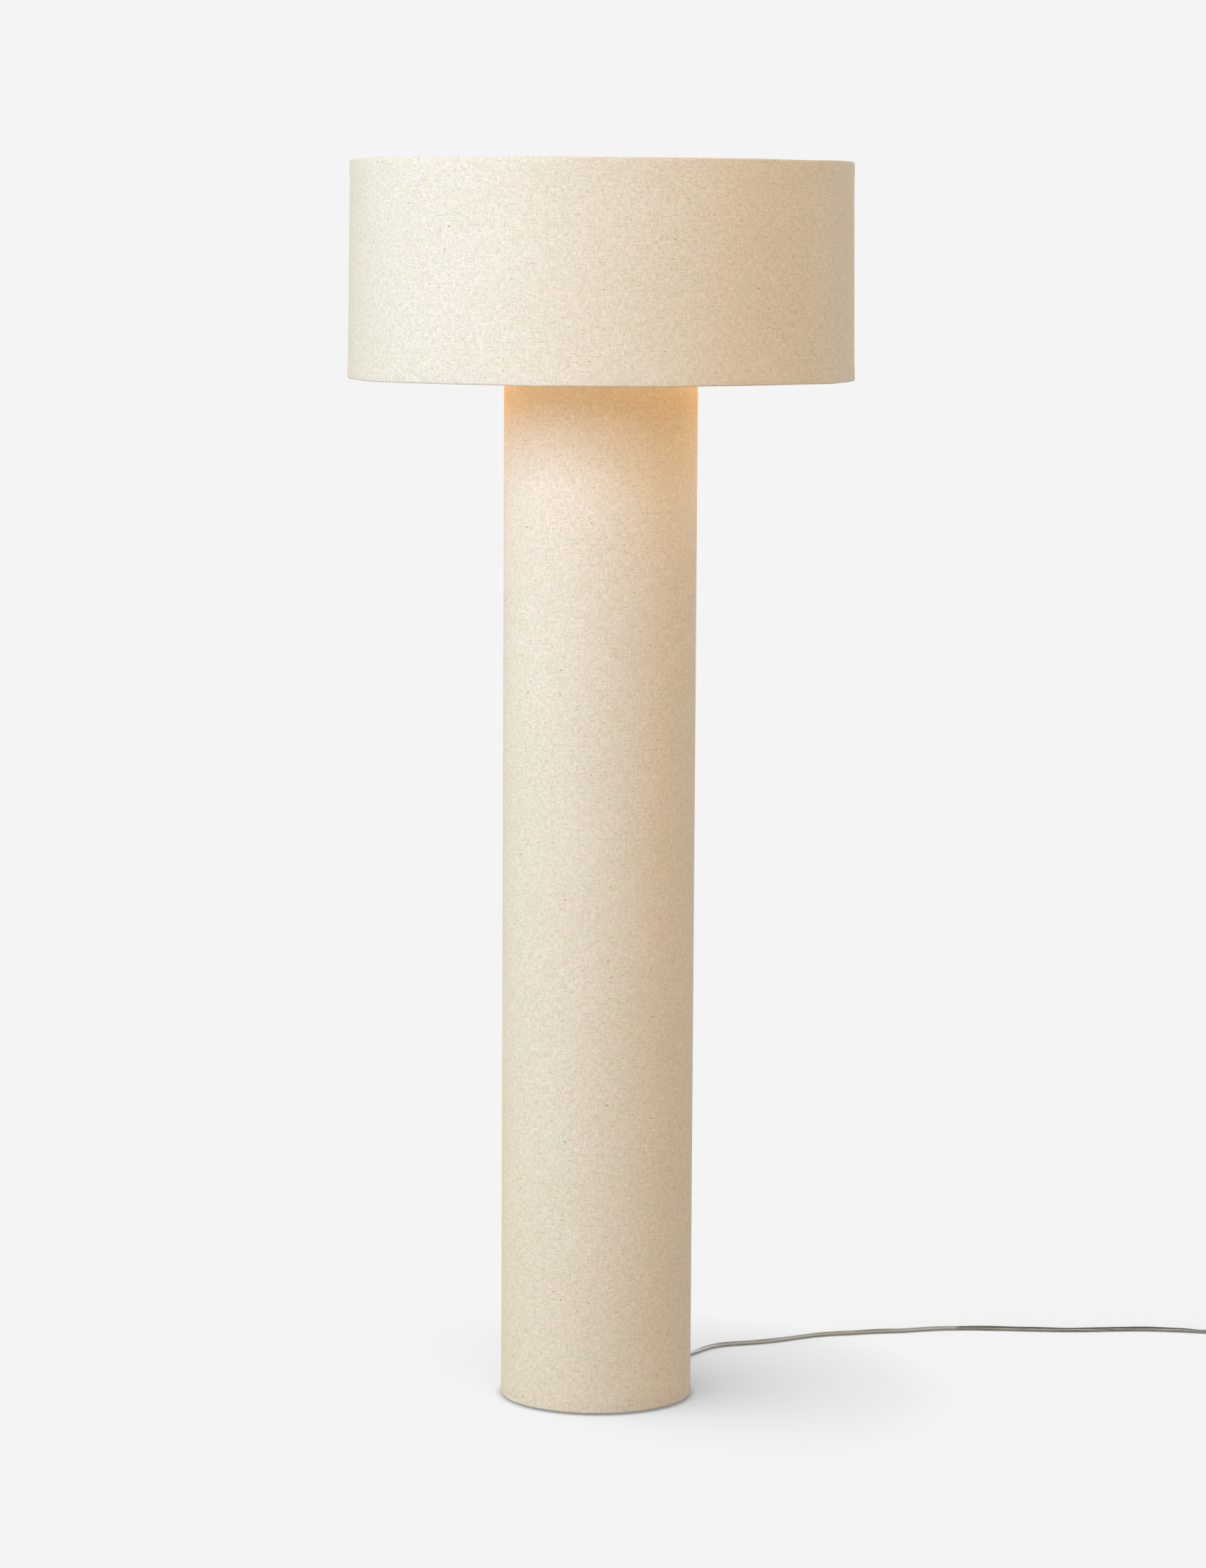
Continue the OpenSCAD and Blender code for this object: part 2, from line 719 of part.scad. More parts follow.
// A globe and the cone that runs from the neck to touch it, as one round solid
module bulb_form(shrink, neck_s) {
    r = bulb_r - shrink;
    neck = [neck_s, bulb_neck_r - shrink];
    reach = norm([bulb_centre_s - neck[0], neck[1]]);
    slope = asin(r / reach) - atan2(neck[1], bulb_centre_s - neck[0]);
    touch = sqrt(reach * reach - r * r);
    translate([0, 0, neck[0]])
        cylinder(r1 = neck[1], r2 = neck[1] + touch * sin(slope), h = touch * cos(slope));
    translate([0, 0, bulb_centre_s]) sphere(r = r);
}

module bulb_glass(side) {
    color(glass_colour)
        on_socket(side)
            difference() {
                bulb_form(0, bulb_neck_s + fit);
                bulb_form(glass_wall, bulb_neck_s + fit - 1);
            }
}

// ---------- wiring inside ----------

// In from the strain relief, through the weight's groove, and up the pole
module inner_lead() {
    r = lead_d / 2;
    path = concat(
        [[inner_flange_r0 - fit, exit_z, r]],
        bend([lead_bend_r, exit_z + lead_bend_r], lead_bend_r, -90, -180, 8, r),
        [[0, lead_z1, r]]);
    color(cord_colour)
        rotate([0, 0, exit_angle]) stretched(rod_rings(path, 12));
}

// Two closed-end connectors over the joints inside the cup, where the lead ends
module wire_caps() {
    color(black_colour)
        around(2, wire_cap_y, 90)
            translate([0, 0, lead_z1 + fit]) cylinder(r = wire_cap_r, h = wire_cap_h);
}

// From beside the wire caps, out through each arm, to the back of each socket's core
module socket_leads() {
    path = arm_path([[single_lead_x, arm_z, single_lead_r]], single_lead_r,
        arm_tip - cap_neck + core_s0 - fit);
    color(cord_colour)
        for (side = [1, 2])
            on_side(side) stretched(rod_rings(path, 8));
}

// ---------- shade ----------

// The straight rod of a spider arm, from inside the hub's edge up to the middle of the ring's wire
module spider_rod(r) {
    from = [hub_r - 3, hub_z0 + hub_t / 2];
    to = [ring_top_r, ring_top_z];
    translate([from[0], 0, from[1]])
        rotate([0, atan2(to[0] - from[0], to[1] - from[1]), 0]) cylinder(r = r, h = norm(to - from));
}

// The top ring with the spider's arms and hub welded to it
module spider_ring() {
    color(steel_colour) {
        rotate_extrude() translate([ring_top_r, ring_top_z]) circle(r = ring_r, $fn = 32);
        around(spider_count, 0, 90) spider_rod(spider_wire_d / 2);
        washer(hub_r, stud_r + run, hub_t, hub_z0);
    }
}

module bottom_ring() {
    color(steel_colour)
        rotate_extrude() translate([ring_bottom_r, ring_bottom_z]) circle(r = ring_r, $fn = 32);
}

// Radius of the shade's outer face at a height
function shade_r(z) = shade_d / 2 - shade_taper * (z - shade_z0) / shade_h;

module shade_liner() {
    low = shade_z0 + linen_t + fit;
    high = shade_z1 - linen_t - fit;
    off = linen_t + fit;
    color(liner_colour)
        rotate_extrude()
            polygon([[shade_r(low) - off, low], [shade_r(high) - off, high],
                [shade_r(high) - off - liner_t, high], [shade_r(low) - off - liner_t, low]]);
}

// One turned-in edge of the linen, from the outer face round the ring to its end on the liner.
// z_edge is the edge's height and up is +1 for the top edge or -1 for the bottom one.
function hem_outline(z_edge, up) =
    let (
        pocket = skin + ring_wire_d + fit,
        ring_end = z_edge - up * (linen_t + ring_wire_d + 2 * fit),
        slope_end = ring_end - up * ring_wire_d,
        hem_end = z_edge - up * shade_hem)
    [
        [shade_r(z_edge), z_edge],
        [shade_r(z_edge) - pocket - linen_t, z_edge],
        [shade_r(z_edge) - pocket - linen_t, ring_end],
        [shade_r(slope_end) - skin - linen_t, slope_end],
        [shade_r(hem_end) - skin - linen_t, hem_end],
        [shade_r(hem_end) - skin, hem_end],
        [shade_r(slope_end) - skin, slope_end],
        [shade_r(z_edge) - pocket, ring_end],
        [shade_r(z_edge) - pocket, z_edge - up * linen_t],
        [shade_r(z_edge) - linen_t, z_edge - up * linen_t]];

module shade_linen() {
    bottom_edge = hem_outline(shade_z0, -1);
    top_edge = hem_outline(shade_z1, 1);
    wall = concat(bottom_edge, [for (i = [len(top_edge) - 1 : -1 : 0]) top_edge[i]]);
    color(linen_colour)
        difference() {
            rotate_extrude() polygon(wall);
            around(spider_count, 0, 90) spider_rod(spider_wire_d / 2 + run);
        }
}

// A turned finial: foot, waist and ball
module finial() {
    ball_r = finial_d / 2;
    ball_z = finial_z0 + finial_h - ball_r;
    foot_r = ball_r - 1;
    color(brass_colour)
        difference() {
            union() {
                translate([0, 0, finial_z0]) cylinder(r = foot_r, h = 3);
                translate([0, 0, finial_z0 + 3]) cylinder(r1 = foot_r, r2 = stud_r + 2, h = 3);
                translate([0, 0, finial_z0 + 3]) cylinder(r = stud_r + 2, h = ball_z - finial_z0 - 3);
                translate([0, 0, ball_z]) sphere(r = ball_r);
            }
            translate([0, 0, finial_z0 - 1]) cylinder(r = stud_r + run, h = stud_z1 - finial_z0 + 2);
        }
}

module finial_washer() {
    color(brass_colour) washer(finial_washer_r, stud_r + run, finial_washer_t, hub_z1 + fit);
}

// ---------- cord ----------

// A bush through the column wall with a flange on either side, and a tapered boot outside it
module strain_relief() {
    face = column_d / 2 + fit;
    color(black_colour) {
        exit_rod(flange_r, inner_flange_r0, inner_flange_r1);
        exit_rod(bush_r, inner_flange_r0 + flange_t / 2, face + flange_t / 2);
        exit_rod(flange_r, face, face + flange_t);
        exit_rod(boot_r0, face + flange_t / 2, boot_tip_r, boot_r1);
    }
}

module cord_run() {
    color(cord_colour) sweep(run_route, 2, cord_w, cord_t);
}

module cord_tail() {
    color(cord_colour) sweep(tail_route, 2, cord_w, cord_t);
}

module cord_end() {
    color(cord_colour) sweep(end_route, 2, cord_w, cord_t);
}

module cord_coil() {
    color(cord_colour)
        translate([coil_at[0], coil_at[1], 0])
            rotate_extrude()
                translate([coil_r0, coil_z0]) square([coil_r1 - coil_r0, coil_z1 - coil_z0]);
}

module cord_tie() {
    inner = [coil_r1 - coil_r0 + 2 * fit, tie_w + 2, coil_z1 - coil_z0 + 2 * fit];
    outer = [inner[0] + 2 * tie_t, tie_w, inner[2] + 2 * tie_t];
    bulge = coil_r1 - sqrt(coil_r1 * coil_r1 - tie_w * tie_w / 4);
    color(black_colour)
        translate([coil_at[0], coil_at[1], coil_z0 - fit - tie_t])
            rotate([0, 0, tie_angle])
                translate([coil_r0 - fit - tie_t - bulge, -tie_w / 2, 0])
                    difference() {
                        cube([outer[0] + bulge, outer[1], outer[2]]);
                        translate([tie_t, -1, tie_t]) cube([inner[0] + bulge, inner[1], inner[2]]);
                    }
}

// ---------- foot switch ----------

module at_switch(z = 0) {
    translate([switch_at[0], switch_at[1], z]) children();
}

// The lower shell: a tray with a boss for each screw, whose head is sunk into its underside
module switch_base() {
    color(black_colour)
        at_switch()
            difference() {
                union() {
                    difference() {
                        linear_extrude(switch_base_h) stadium(switch_len, switch_w);
                        translate([0, 0, switch_floor])
                            linear_extrude(switch_base_h)
                                stadium(switch_len - 2 * switch_shell, switch_w - 2 * switch_shell);
                    }
                    around(2, switch_screw_x) cylinder(r = boss_r, h = switch_base_h);
                }
                around(2, switch_screw_x) {
                    translate([0, 0, -1]) cylinder(r = switch_screw_r + fit, h = switch_base_h + 2);
                    translate([0, 0, -1]) cylinder(r = screw_head_r + fit, h = screw_sink + 1);
                }
            }
}

// The cover: a shell with a boss for each screw and a round hole for the button
module switch_cover() {
    color(black_colour)
        at_switch(switch_base_h + fit)
            difference() {
                union() {
                    difference() {
                        linear_extrude(switch_cover_h) stadium(switch_len, switch_w);
                        translate([0, 0, -1])
                            linear_extrude(switch_cover_h - switch_shell + 1)
                                stadium(switch_len - 2 * switch_shell, switch_w - 2 * switch_shell);
                    }
                    around(2, switch_screw_x) cylinder(r = boss_r, h = switch_cover_h - switch_shell / 2);
                }
                translate([0, 0, -1]) cylinder(r = button_r + run, h = switch_cover_h + 2);
                around(2, switch_screw_x)
                    translate([0, 0, -1])
                        cylinder(r = switch_screw_r + fit, h = screw_grip + 1 + 2 * fit);
            }
}

// The latching switch under the button, with a well that the button's stem goes down into
module switch_module() {
    color(cream_colour)
        at_switch(switch_floor + fit)
            difference() {
                translate([-module_size[0] / 2, -module_size[1] / 2, 0]) cube(module_size);
                translate([0, 0, module_size[2] - well_depth])
                    cylinder(r = stem_r + run, h = well_depth + 1);
            }
}

// A flanged cap on a stem: the flange keeps it under the cover
module switch_button() {
    top = switch_h + fit + button_rise;
    flange_z = switch_h + fit - switch_shell - button_flange - run;
    stem_z = switch_floor + module_size[2] - stem_lead;
    color(cream_colour)
        at_switch() {
            translate([0, 0, stem_z]) cylinder(r = stem_r, h = flange_z + button_flange / 2 - stem_z);
            translate([0, 0, flange_z]) cylinder(r = button_r + button_flange, h = button_flange);
            translate([0, 0, flange_z + button_flange / 2])
                cylinder(r = button_r, h = top - button_edge - flange_z - button_flange / 2);
            translate([0, 0, top - button_edge])
                cylinder(r1 = button_r, r2 = button_r - button_edge, h = button_edge);
        }
}

module switch_screws() {
    color(steel_colour)
        at_switch()
            around(2, switch_screw_x)
                translate([0, 0, screw_sink - screw_head_h]) {
                    cylinder(r = screw_head_r, h = screw_head_h - fit);
                    cylinder(r = switch_screw_r, h = screw_head_h + switch_base_h - screw_sink + screw_grip);
                }
}

// ---------- plug ----------

module at_plug() {
    translate([plug_nose[0], plug_nose[1], plug_h / 2]) children();
}

// The two flat blades, standing on edge side by side; grow widens them for their slots
module blades(outside, inside, grow) {
    for (side = [0, 1])
        translate([-outside, (side - 0.5) * plug_gap - blade_t / 2 - grow, -blade_w[side] / 2 - grow])
            cube([outside + inside, blade_t + 2 * grow, blade_w[side] + 2 * grow]);
}

// A moulded body that narrows to a grip where the cord enters
module plug_body() {
    grip_len = plug_len / 3;
    color(black_colour)
        at_plug()
            difference() {
                rotate([90, 0, 90]) {
                    linear_extrude(plug_len - grip_len) stadium(plug_w, plug_h);
                    linear_extrude(plug_len) stadium(plug_w - 8, plug_h - 2);
                }
                blades(1, blade_root + fit, fit);
            }
}

module plug_blades() {
    color(brass_colour) at_plug() blades(blade_len, blade_root, 0);
}

// ---------- nodes ----------

felt_pad();
bottom_disc();
base_weight();
weight_bolts();
lower_washer();
lower_nut();
pole();
column_tube();
column_linen();
top_disc();
top_plate();
upper_washer();
upper_nut();
neck();
cluster_cup();
cluster_nut();
cluster_lid();
post_nut();
shade_post();
post_stud();
spider_seat();
socket_arm(1);  // socket_arm_1
socket_cap(1);  // socket_cap_1
socket_shell(1);  // socket_shell_1
socket_liner(1);  // socket_liner_1
socket_core(1);  // socket_core_1
screw_shell(1);  // screw_shell_1
bulb_base(1);  // bulb_base_1
bulb_glass(1);  // bulb_glass_1
socket_arm(2);  // socket_arm_2
socket_cap(2);  // socket_cap_2
socket_shell(2);  // socket_shell_2
socket_liner(2);  // socket_liner_2
socket_core(2);  // socket_core_2
screw_shell(2);  // screw_shell_2
bulb_base(2);  // bulb_base_2
bulb_glass(2);  // bulb_glass_2
inner_lead();
wire_caps();
socket_leads();
spider_ring();
bottom_ring();
shade_liner();
shade_linen();
finial();
finial_washer();
strain_relief();
cord_run();
cord_tail();
cord_coil();
cord_end();
cord_tie();
switch_base();
switch_cover();
switch_module();
switch_button();
switch_screws();
plug_body();
plug_blades();
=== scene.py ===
"""Looks of the column floor lamp, built around its packed frame. Metres, +Z up.

The view in the photograph looks along +Y, with +X to the right. The frame's rigid pieces inside the lamp keep
their own shapes and get materials. What shows is made here: linen, cord, bulbs, fittings, switch and plug.
"""

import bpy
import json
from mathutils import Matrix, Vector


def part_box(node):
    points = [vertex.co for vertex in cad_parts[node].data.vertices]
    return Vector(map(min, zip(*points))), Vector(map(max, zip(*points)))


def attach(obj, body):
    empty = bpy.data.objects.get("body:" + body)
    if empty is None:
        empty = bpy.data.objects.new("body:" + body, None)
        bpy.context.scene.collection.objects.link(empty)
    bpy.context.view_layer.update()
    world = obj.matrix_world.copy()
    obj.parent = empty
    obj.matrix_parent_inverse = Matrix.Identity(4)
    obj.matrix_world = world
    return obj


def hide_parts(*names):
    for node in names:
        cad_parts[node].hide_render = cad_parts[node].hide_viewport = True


bl_info = {
    "name": "Column floor lamp",
    "version": (1, 0, 0),
    "blender": (4, 5, 0),
    "location": "3D View > Sidebar > Lamp",
    "description": "Dresses the lamp's frame with its linen, cord, bulbs and fittings",
    "category": "Add Mesh",
}

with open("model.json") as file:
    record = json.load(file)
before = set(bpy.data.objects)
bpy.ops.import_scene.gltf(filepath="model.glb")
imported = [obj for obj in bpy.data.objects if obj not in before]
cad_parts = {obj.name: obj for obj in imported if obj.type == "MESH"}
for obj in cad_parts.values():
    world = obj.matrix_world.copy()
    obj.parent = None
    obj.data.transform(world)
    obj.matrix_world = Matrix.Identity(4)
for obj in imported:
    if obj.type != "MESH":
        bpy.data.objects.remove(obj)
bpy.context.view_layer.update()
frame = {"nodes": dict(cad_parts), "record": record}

import json
import math

import bmesh
import bpy
import numpy as np
from mathutils import Matrix, Vector

TAU = 2 * math.pi

# ---------- sizes that repeat the source's, in metres ----------

SHADE_LOW, SHADE_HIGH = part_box("shade_linen")[0].z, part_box("shade_linen")[1].z
SHADE_LOW_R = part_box("shade_linen")[1].x
SHADE_TAPER = 0.003
COLUMN_LOW, COLUMN_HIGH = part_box("column_linen")[0].z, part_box("column_linen")[1].z
COLUMN_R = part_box("column_linen")[1].x
TUBE_BORE_R = 0.1122
CLOTH_T = 0.0008
LINER_T = 0.0008
FIT = 0.0001
SHADE_HEM, SHADE_LAP = 0.014, 0.024
COLUMN_HEM, COLUMN_LAP = 0.012, 0.012
SEAM_SIDE = 0.012
SEAM_RISE, HEM_RISE, MOST_RISE = 0.00045, 0.00035, 0.0009
POLE_BORE_R, FITTING_BORE_R, STUD_BORE_R, LOOSE_BORE_R = 0.0067, 0.0049, 0.0032, 0.0034
HUB_R, HUB_T, ARM_ROD_R = 0.014, 0.003, 0.0017
RING_WIRE_R = 0.002
TOP_RING_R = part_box("spider_ring")[1].y - RING_WIRE_R
TOP_RING_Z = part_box("spider_ring")[1].z - RING_WIRE_R
LOW_RING_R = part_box("bottom_ring")[1].x - RING_WIRE_R
LOW_RING_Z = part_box("bottom_ring")[0].z + RING_WIRE_R

# ---------- the cord's route, as in the source ----------

EXIT_ANGLE = math.radians(58)
EXIT_OUT = np.array([math.cos(EXIT_ANGLE), math.sin(EXIT_ANGLE), 0.0])
EXIT_Z = 0.024
BOOT_TIP_R = 0.1481
CORD_LIE = 0.0019
LOBE_REACH = 0.0018
CORD_STEP = 0.004
STRAND_LAY = 0.0017
COIL_AT = np.array([0.975, 0.293])
COIL_ROWS_R = (0.0448, 0.0410, 0.0372)
COIL_LAYERS_Z = (0.0046, 0.0120)
SWITCH_AT = np.array([0.880, 0.333, 0.0])
PLUG_NOSE = np.array([0.898, 0.249, 0.0065])
PLUG_LEN = 0.030

COME_DOWN = [
    [*((BOOT_TIP_R + FIT) * EXIT_OUT[:2]), EXIT_Z],
    [*((BOOT_TIP_R + 0.014) * EXIT_OUT[:2]), EXIT_Z - 0.0016],
    [0.096, 0.153, 0.0155], [0.107, 0.172, 0.0075], [0.1175, 0.190, 0.0029]]
FLOOR_RUN = [
    (0.129, 0.208), (0.142, 0.227), (0.158, 0.242), (0.180, 0.252), (0.206, 0.260), (0.232, 0.271),
    (0.258, 0.287), (0.282, 0.301), (0.309, 0.311), (0.340, 0.318), (0.370, 0.3255), (0.400, 0.3305),
    (0.426, 0.338), (0.456, 0.3455), (0.490, 0.3475), (0.530, 0.346), (0.570, 0.343), (0.610, 0.341),
    (0.650, 0.342), (0.690, 0.346), (0.730, 0.347), (0.770, 0.343)]
TO_SWITCH = [[0.802, 0.3365, 0.0023], [0.828, 0.3332, 0.0041], [0.8479, 0.333, 0.0045]]
TO_COIL = [[0.9121, 0.333, 0.0045], [0.926, 0.3336, 0.0043], [0.946, 0.3366, 0.0042]]
TO_PLUG = [[0.955, 0.2484, 0.0096], [0.940, 0.249, 0.0072], [0.9281, 0.249, 0.0065]]


# ---------- shapes ----------

def ease(x):
    """0 up to x = 0, 1 from x = 1, and 3x^2 - 2x^3 in between."""
    x = np.clip(x, 0, 1)
    return x * x * (3 - 2 * x)


def smooth_line(points, spacing):
    """The Catmull-Rom curve through the points, with its points an even distance apart."""
    p = np.asarray(points, float)
    q = np.vstack([p[:1], p, p[-1:]])
    t = np.linspace(0, 1, 16, endpoint=False)[None, :, None]
    a, b, c, d = (q[k : len(q) - 3 + k, None, :] for k in range(4))
    curve = 0.5 * (2 * b + (c - a) * t + (2 * a - 5 * b + 4 * c - d) * t**2
                   + (3 * b - a - 3 * c + d) * t**3)
    return even_line(np.vstack([curve.reshape(-1, p.shape[1]), p[-1:]]), spacing)


def walk(points):
    """Distance along a line to each of its points: the running sum of the lengths of its stretches."""
    return np.concatenate([[0], np.cumsum(np.linalg.norm(np.diff(points, axis=0), axis=1))])


def even_line(points, spacing):
    """The same line with its points an even distance apart, as near the spacing as whole steps come."""
    walked = walk(points)
    count = max(2, int(round(walked[-1] / spacing)) + 1)
    at = np.linspace(0, walked[-1], count)
    return np.stack([np.interp(at, walked, points[:, k]) for k in range(points.shape[1])], 1)


def soften(corners, radius, steps=5, closed=False):
    """A line through corners, each turned into a parabola that starts and ends a radius away, or just under
    half way to the next corner where that is nearer."""
    p = np.asarray(corners, float)
    before, after = np.roll(p, 1, 0), np.roll(p, -1, 0)
    if not closed:
        before[0], after[-1] = p[0], p[-1]
    back, ahead = (np.maximum(np.linalg.norm(x - p, axis=1), 1e-12) for x in (before, after))
    reach = np.minimum(radius, 0.48 * np.minimum(back, ahead))
    if not closed:
        reach[[0, -1]] = 0
    start = p + (before - p) * (reach / back)[:, None]
    end = p + (after - p) * (reach / ahead)[:, None]
    t = np.linspace(0, 1, steps)[None, :, None]
    bent = (1 - t) ** 2 * start[:, None] + 2 * t * (1 - t) * p[:, None] + t**2 * end[:, None]
    if closed:
        return bent.reshape(-1, p.shape[1])
    return np.vstack([p[:1], bent[1:-1].reshape(-1, p.shape[1]), p[-1:]])


def rounded_box(half_wide, half_tall, radius, steps):
    """Closed outline of a box about the origin with softened corners."""
    corners = [(-half_wide, -half_tall), (half_wide, -half_tall), (half_wide, half_tall), (-half_wide, half_tall)]
    return soften(corners, radius, steps, closed=True)


def arc(r, angles):
    """Points of a circle about the origin: its radius times each angle's cosine and sine."""
    return np.stack([np.cos(angles), np.sin(angles)], 1) * r


def unit(rows):
    """Each row divided by its own length."""
    return rows / np.linalg.norm(rows, axis=1)[:, None]


def thicken(line, thickness):
    """The closed outline at half a thickness either side of an open line in a plane."""
    along = unit(np.gradient(line, axis=0))
    side = np.stack([-along[:, 1], along[:, 0]], 1) * thickness / 2
    return np.vstack([line + side, (line - side)[::-1]])


def quads_of(rows, cols, wrap_rows, wrap_cols):
    """Corner numbers of the quads of a grid whose points are numbered row by row."""
    i, j = np.meshgrid(np.arange(rows - (not wrap_rows)), np.arange(cols - (not wrap_cols)), indexing="ij")
    i2, j2 = (i + 1) % rows, (j + 1) % cols
    return np.stack([i * cols + j, i * cols + j2, i2 * cols + j2, i2 * cols + j], -1).reshape(-1, 4)


def grid_piece(name, points, wrap_rows=False, wrap_cols=True, uv=None, caps=False, flat=False):
    """One object from a grid of points (rows, columns, 3). uv holds a corner more than each wrapped side.
    caps closes the first and last row with a fan to their middles. Poles and seams are merged."""
    rows, cols, _ = points.shape
    verts = points.reshape(-1, 3)
    faces = quads_of(rows, cols, wrap_rows, wrap_cols).tolist()
    if caps:
        verts = np.vstack([verts, points[0].mean(0), points[-1].mean(0)])
        ring = np.arange(cols)
        for row, middle in ((0, rows * cols), ((rows - 1) * cols, rows * cols + 1)):
            faces += np.stack([row + ring, row + (ring + 1) % cols, np.full(cols, middle)], 1).tolist()
    mesh = bpy.data.meshes.new(name)
    mesh.from_pydata(verts.tolist(), [], faces)
    if uv is not None:
        corners = np.stack([uv[:-1, :-1], uv[:-1, 1:], uv[1:, 1:], uv[1:, :-1]], 2).reshape(-1, 2)
        loops = np.zeros((len(mesh.loops), 2))
        loops[: len(corners)] = corners
        if caps:
            loops[len(corners) :] = uv.reshape(-1, 2).mean(0)
        mesh.uv_layers.new(name="cloth").data.foreach_set("uv", loops.ravel())
    return closed_object(name, mesh, flat)


def closed_object(name, mesh, flat=False):
    """An object of a mesh whose doubles are merged and whose faces are smooth and point outwards."""
    shape = bmesh.new()
    shape.from_mesh(mesh)
    bmesh.ops.remove_doubles(shape, verts=shape.verts, dist=1e-6)
    bmesh.ops.recalc_face_normals(shape, faces=shape.faces)
    for face in shape.faces:
        face.smooth = not flat
    return written(name, shape, mesh)


def written(name, shape, mesh):
    """Writes a shape into a mesh and puts its object into the scene."""
    shape.to_mesh(mesh)
    shape.free()
    made = bpy.data.objects.new(name, mesh)
    bpy.context.scene.collection.objects.link(made)
    return made


def joined(name, parts):
    """Several made objects as one."""
    shape = bmesh.new()
    for part in parts:
        shape.from_mesh(part.data)
        old = part.data
        bpy.data.objects.remove(part)
        bpy.data.meshes.remove(old)
    return written(name, shape, bpy.data.meshes.new(name))


def basis(axis):
    """Three rows of length 1: two directions across the axis and the axis itself."""
    z = np.asarray(axis, float) / np.linalg.norm(axis)
    x = np.cross([0, 1, 0] if abs(z[1]) < 0.9 else [1, 0, 0], z)
    x /= np.linalg.norm(x)
    return np.array([x, np.cross(z, x), z])


def turned(name, profile, steps=96, at=(0, 0, 0), axis=(0, 0, 1), closed=False):
    """A profile of (radius, height) turned about an axis that starts at a point."""
    angle = np.arange(steps) * TAU / steps
    r, h = profile[:, 0, None], profile[:, 1, None]
    local = np.stack([r * np.cos(angle), r * np.sin(angle), h + 0 * angle], -1)
    return grid_piece(name, local @ basis(axis) + np.array(at), wrap_rows=closed)


def hollow_turned(name, corners, radius, bend, steps, at=(0, 0, 0), axis=(0, 0, 1)):
    """A closed profile with softened corners, turned: a ring, shell, washer or tube."""
    return turned(name, soften(corners, radius, bend, closed=True), steps, at, axis, closed=True)


def carried(path, outline, twist=0.0):
    """The points of an outline (across, up) carried along a path. It lies level, turned by the twist."""
    along = unit(np.gradient(path, axis=0))
    across = unit(np.cross(np.broadcast_to([0.0, 0.0, 1.0], along.shape), along))
    up = np.cross(along, across)
    twist = np.broadcast_to(twist, len(path))[:, None]
    c, s = np.cos(twist), np.sin(twist)
    a, b = across * c + up * s, up * c - across * s
    return path[:, None, :] + (outline[None, :, :1] * a[:, None] + outline[None, :, 1:] * b[:, None])


def stadium(length, width):
    """Outline with round ends, long side along the first coordinate."""
    end = arc(width, np.linspace(-math.pi / 2, math.pi / 2, 24)) / 2
    shift = np.array([(length - width) / 2, 0])
    return np.vstack([end + shift, -end - shift])


# ---------- materials ----------

class Nodes:
    """Makes a tree's nodes and links them. Each short method adds one node and gives its output."""

    def __init__(self, tree):
        self.tree = tree

    def node(self, kind, values=(), **settings):
        """A node: settings are its own, and values are its inputs, a socket being linked."""
        made = self.tree.nodes.new("ShaderNode" + kind)
        for key, value in settings.items():
            setattr(made, key, value)
        for key, value in dict(values).items():
            if isinstance(value, bpy.types.NodeSocket):
                self.tree.links.new(value, made.inputs[key])
            else:
                made.inputs[key].default_value = value
        return made

    def coords(self):
        """Place in the piece, in metres."""
        return self.node("TexCoord").outputs["Object"]

    def cloth(self):
        """Metres along the sheet or cord and across it."""
        return self.node("UVMap", uv_map="cloth").outputs[0]

    def scaled(self, vector, scale, shift=(0, 0, 0)):
        return self.node("Mapping", {"Vector": vector, "Scale": scale, "Location": shift}).outputs[0]

    def noise(self, vector, scale, detail=3.0, roughness=0.55):
        return self.node("TexNoise", {
            "Vector": vector, "Scale": scale, "Detail": detail, "Roughness": roughness}).outputs["Fac"]

    def maths(self, kind, *values):
        return self.node("Math", dict(enumerate(values)), operation=kind).outputs[0]

    def times(self, a, b):
        return self.maths("MULTIPLY", a, b)

    def tinted(self, colour, by):
        """The two colours multiplied."""
        return self.blend(1.0, colour, by, "MULTIPLY")

    def span(self, value, low, high, to_low=0.0, to_high=1.0):
        """The value, clamped to the first pair and stretched from it to the second."""
        return self.node("MapRange", {0: value, 1: low, 2: high, 3: to_low, 4: to_high}).outputs[0]

    def blend(self, factor, a, b, kind="MIX"):
        return self.node("Mix", {0: factor, 6: a, 7: b}, data_type="RGBA", blend_type=kind).outputs[2]

    def grey(self, value):
        return self.node("CombineColor", {0: value, 1: value, 2: value}).outputs[0]

    def bump(self, height, distance, strength=1.0, under=None):
        values = {"Height": height, "Distance": distance, "Strength": strength}
        if under is not None:
            values["Normal"] = under
        return self.node("Bump", values).outputs[0]


class Finish(Nodes):
    """One material, whose surface starts with the given inputs."""

    def __init__(self, name, **surface):
        self.material = bpy.data.materials.new(name)
        self.material.use_nodes = True
        super().__init__(self.material.node_tree)
        self.skin = self.tree.nodes["Principled BSDF"]
        for key, value in surface.items():
            self.skin.inputs[key.replace("_", " ")].default_value = value

    def done(self, colour, relief, **others):
        """Links the surface's colour, its relief and what else is given, and returns the material."""
        for key, socket in {"Base_Color": colour, "Normal": relief, **others}.items():
            self.tree.links.new(socket, self.skin.inputs[key.replace("_", " ")])
        return self.material


def rgb(colour):
    """The colour's three parts, opaque."""
    return (*colour[:3], 1.0)


def shaded(colour, by):
    """The colour with each of its three parts times its own share, or all times the same one."""
    return rgb(np.array(colour[:3], float) * by)


